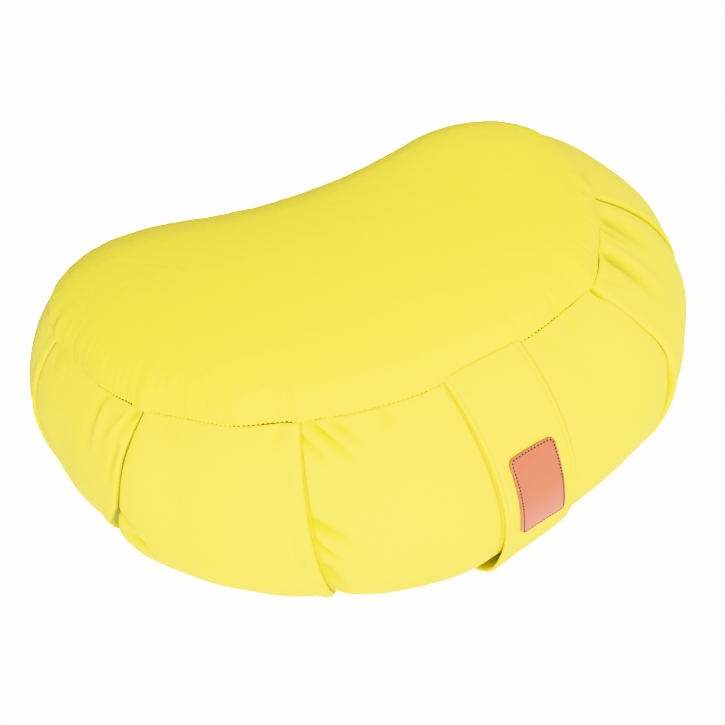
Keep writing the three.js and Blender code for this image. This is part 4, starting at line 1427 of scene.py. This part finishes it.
def leather(name):
    """Smooth leather with pores, uneven tanning, rubbed edges and a painted highlight on the lower half."""
    material = bpy.data.materials.new(name)
    material.use_nodes = True
    tree = material.node_tree
    shader = tree.nodes["Principled BSDF"]
    shader.inputs["Specular IOR Level"].default_value = 0.45
    shader.inputs["Coat Weight"].default_value = 0.5
    shader.inputs["Coat Roughness"].default_value = 0.32
    coordinates = tree.nodes.new("ShaderNodeTexCoord")
    cut = tree.nodes.new("ShaderNodeUVMap")
    cut.uv_map = "cut"
    wear = group_node(tree, WEAR)
    wear.inputs["Breakup"].default_value = 400.0
    tree.links.new(coordinates.outputs["Object"], wear.inputs["Place"])
    pores = tree.nodes.new("ShaderNodeTexVoronoi")
    pores.feature = "DISTANCE_TO_EDGE"
    pores.inputs["Scale"].default_value = 1500.0
    tree.links.new(cut.outputs["UV"], pores.inputs["Vector"])
    tanning = noise_node(tree, cut.outputs["UV"], 60.0, 4.0, 0.6)
    grain = noise_node(tree, cut.outputs["UV"], 900.0, 3.0, 0.6)
    tanned = mix_colour(tree, math_node(tree, "MULTIPLY", tanning, 0.45), LEATHER, LEATHER_DARK)
    grained = mix_colour(tree, math_node(tree, "MULTIPLY", grain, 0.22), tanned, LEATHER_PALE)
    place_on_patch = tree.nodes.new("ShaderNodeSeparateXYZ")
    tree.links.new(cut.outputs["UV"], place_on_patch.inputs[0])
    # painted highlight: the lower half is mixed towards a paler colour
    lower_end = math_node(tree, "MULTIPLY", place_on_patch.outputs["Y"], HIGHLIGHT_GROWTH, clamp=True)
    highlighted = mix_colour(tree, lower_end, grained, LEATHER_HIGHLIGHT)
    rubbed = mix_colour(tree, math_node(tree, "MULTIPLY", wear.outputs["Worn"], 0.8), highlighted, LEATHER_RUBBED)
    tree.links.new(rubbed, shader.inputs["Base Color"])
    rough = math_node(tree, "ADD", 0.36, math_node(tree, "MULTIPLY", grain, 0.16))
    tree.links.new(rough, shader.inputs["Roughness"])
    bump = tree.nodes.new("ShaderNodeBump")
    bump.inputs["Strength"].default_value = 0.30
    bump.inputs["Distance"].default_value = 0.00012
    height = math_node(tree, "ADD", math_node(tree, "MULTIPLY", pores.outputs["Distance"], 3.0), grain)
    tree.links.new(height, bump.inputs["Height"])
    tree.links.new(bump.outputs["Normal"], shader.inputs["Normal"])
    return material


patch_leather = leather("patch_leather")
print("leather material:", patch_leather.name)


# %% Thread materials
def thread(name, colour, deep):
    """Twisted sewing thread: fine diagonal bands along its length."""
    material = bpy.data.materials.new(name)
    material.use_nodes = True
    tree = material.node_tree
    shader = tree.nodes["Principled BSDF"]
    shader.inputs["Specular IOR Level"].default_value = 0.35
    shader.inputs["Sheen Weight"].default_value = 0.2
    coordinates = tree.nodes.new("ShaderNodeTexCoord")
    twist = tree.nodes.new("ShaderNodeTexWave")
    twist.bands_direction = "DIAGONAL"
    twist.inputs["Scale"].default_value = 700.0
    twist.inputs["Distortion"].default_value = 1.0
    tree.links.new(coordinates.outputs["Object"], twist.inputs["Vector"])
    tree.links.new(mix_colour(tree, twist.outputs["Fac"], deep, colour), shader.inputs["Base Color"])
    rough = math_node(tree, "ADD", 0.5, math_node(tree, "MULTIPLY", twist.outputs["Fac"], 0.2))
    tree.links.new(rough, shader.inputs["Roughness"])
    bump = tree.nodes.new("ShaderNodeBump")
    bump.inputs["Strength"].default_value = 0.4
    bump.inputs["Distance"].default_value = 0.0001
    tree.links.new(twist.outputs["Fac"], bump.inputs["Height"])
    tree.links.new(bump.outputs["Normal"], shader.inputs["Normal"])
    return material


yellow_thread = thread("yellow_thread", (0.74, 0.66, 0.06, 1), (0.50, 0.45, 0.02, 1))
brown_thread = thread("brown_thread", (0.07, 0.024, 0.018, 1), (0.03, 0.012, 0.010, 1))
print("thread materials:", yellow_thread.name, brown_thread.name)

# %% [markdown]
# ## Floor and light
# The photograph is a product shot: white ground, almost no shadow, and light from everywhere. A wide white
# floor glows, brightly to the camera, so that it reads as pure white, and faintly to everything else, so
# that it throws a little light back up under the cushion. One soft panel stands low in front, a second
# hangs above, a third fills the right end from behind, and a plain white room does the rest. The room is
# as bright to the camera as the floor, so no horizon shows in low views.

# %% Floor
# how strongly the floor and the room glow, and how strongly both glow to the camera
GROUND_GLOW, ROOM_GLOW, SEEN_GLOW = 0.45, 0.40, 6.0


def studio_floor(size=6.0, steps=24):
    """A wide white floor that lies just under the cushion."""
    bm = bmesh.new()
    bmesh.ops.create_grid(bm, x_segments=steps, y_segments=steps, size=size / 2)
    mesh = bpy.data.meshes.new("studio_floor")
    bm.to_mesh(mesh)
    bm.free()
    floor = bpy.data.objects.new("studio_floor", mesh)
    floor.location = (0, 0, -0.0002)
    bpy.context.scene.collection.objects.link(floor)
    material = bpy.data.materials.new("white_ground")
    material.use_nodes = True
    tree = material.node_tree
    shader = tree.nodes["Principled BSDF"]
    shader.inputs["Base Color"].default_value = (0.45, 0.45, 0.45, 1)
    shader.inputs["Roughness"].default_value = 0.9
    shader.inputs["Emission Color"].default_value = (1, 1, 1, 1)
    seen = tree.nodes.new("ShaderNodeLightPath").outputs["Is Camera Ray"]
    glow = math_node(tree, "ADD", GROUND_GLOW, math_node(tree, "MULTIPLY", seen, SEEN_GLOW - GROUND_GLOW))
    tree.links.new(glow, shader.inputs["Emission Strength"])
    mesh.materials.append(material)
    return floor


floor = studio_floor()
print("floor of", len(floor.data.polygons), "quads")

# %% Lights
# name, place, what it looks at, width and height, all in metres, and power in watts
LIGHT_PANELS = [
    ("front_panel", (0.0, -2.0, 1.0), (0, 0, 0.08), (1.3, 0.8), 68),
    ("top_panel_light", (0.1, 0.5, 2.2), (0, 0, 0), (1.6, 1.6), 20),
    ("rear_panel", (2.0, 0.7, 0.9), (0, 0, 0.08), (1.0, 1.0), 10),
]


def soft_panel(name, place, target, size, power):
    """An area light that looks at a point."""
    data = bpy.data.lights.new(name, "AREA")
    data.shape = "RECTANGLE"
    data.size, data.size_y = size
    data.energy = power
    lamp = bpy.data.objects.new(name, data)
    lamp.location = place
    lamp.rotation_euler = (Vector(target) - Vector(place)).to_track_quat("-Z", "Y").to_euler()
    bpy.context.scene.collection.objects.link(lamp)


for row in LIGHT_PANELS:
    soft_panel(*row)
print(len(LIGHT_PANELS), "light panels")

# %% The white room
world = bpy.data.worlds.new("white_room")
world.use_nodes = True
room_tree = world.node_tree
room = room_tree.nodes["Background"]
room.inputs["Color"].default_value = (1, 1, 1, 1)
room_seen = room_tree.nodes.new("ShaderNodeLightPath").outputs["Is Camera Ray"]
room_share = math_node(room_tree, "MULTIPLY", room_seen, SEEN_GLOW - ROOM_GLOW)
room_tree.links.new(math_node(room_tree, "ADD", room_share, ROOM_GLOW), room.inputs["Strength"])
bpy.context.scene.world = world
bpy.context.scene.view_settings.view_transform = "Khronos PBR Neutral"
print("room:", world.name)

# %% [markdown]
# ## Dress the frame
# Last, every piece gets its material, rides on the one body of the model, and names the measured node
# that it stands for, which is hidden. The area of each sheet is printed.

# %% Materials, bodies and slots
# piece, its material, the record's slot, and the measured node it stands for
DRESS = [
    (bag, band_cotton, "side_cotton", "cushion_body"),
    (panel, panel_cotton, "panel_cotton", "top_panel"),
    (base, panel_cotton, "panel_cotton", "bottom_panel"),
    (strap, strap_cotton, "strap_cotton", "carry_handle"),
    (patch, patch_leather, "patch_leather", "leather_patch"),
    (seam_stitches, yellow_thread, "panel_cotton", None),
    (foot_stitches, yellow_thread, "side_cotton", None),
    (strap_lines[0], yellow_thread, "strap_cotton", None),
    (strap_lines[1], yellow_thread, "strap_cotton", None),
    (patch_stitches, brown_thread, "patch_leather", None),
]
for piece, material, slot, node in DRESS:
    piece.data.materials.append(material)
    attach(piece, "root")
    if node:
        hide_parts(node)
print(len(DRESS), "pieces dressed")


# %% Area of each sheet
def cloth_area(obj):
    """Half the surface of a closed sheet, in square metres."""
    return sum(polygon.area for polygon in obj.data.polygons) / 2


for piece in (panel, base, strap, patch):
    print(piece.name, "measures", round(cloth_area(piece), 4), "square metres")
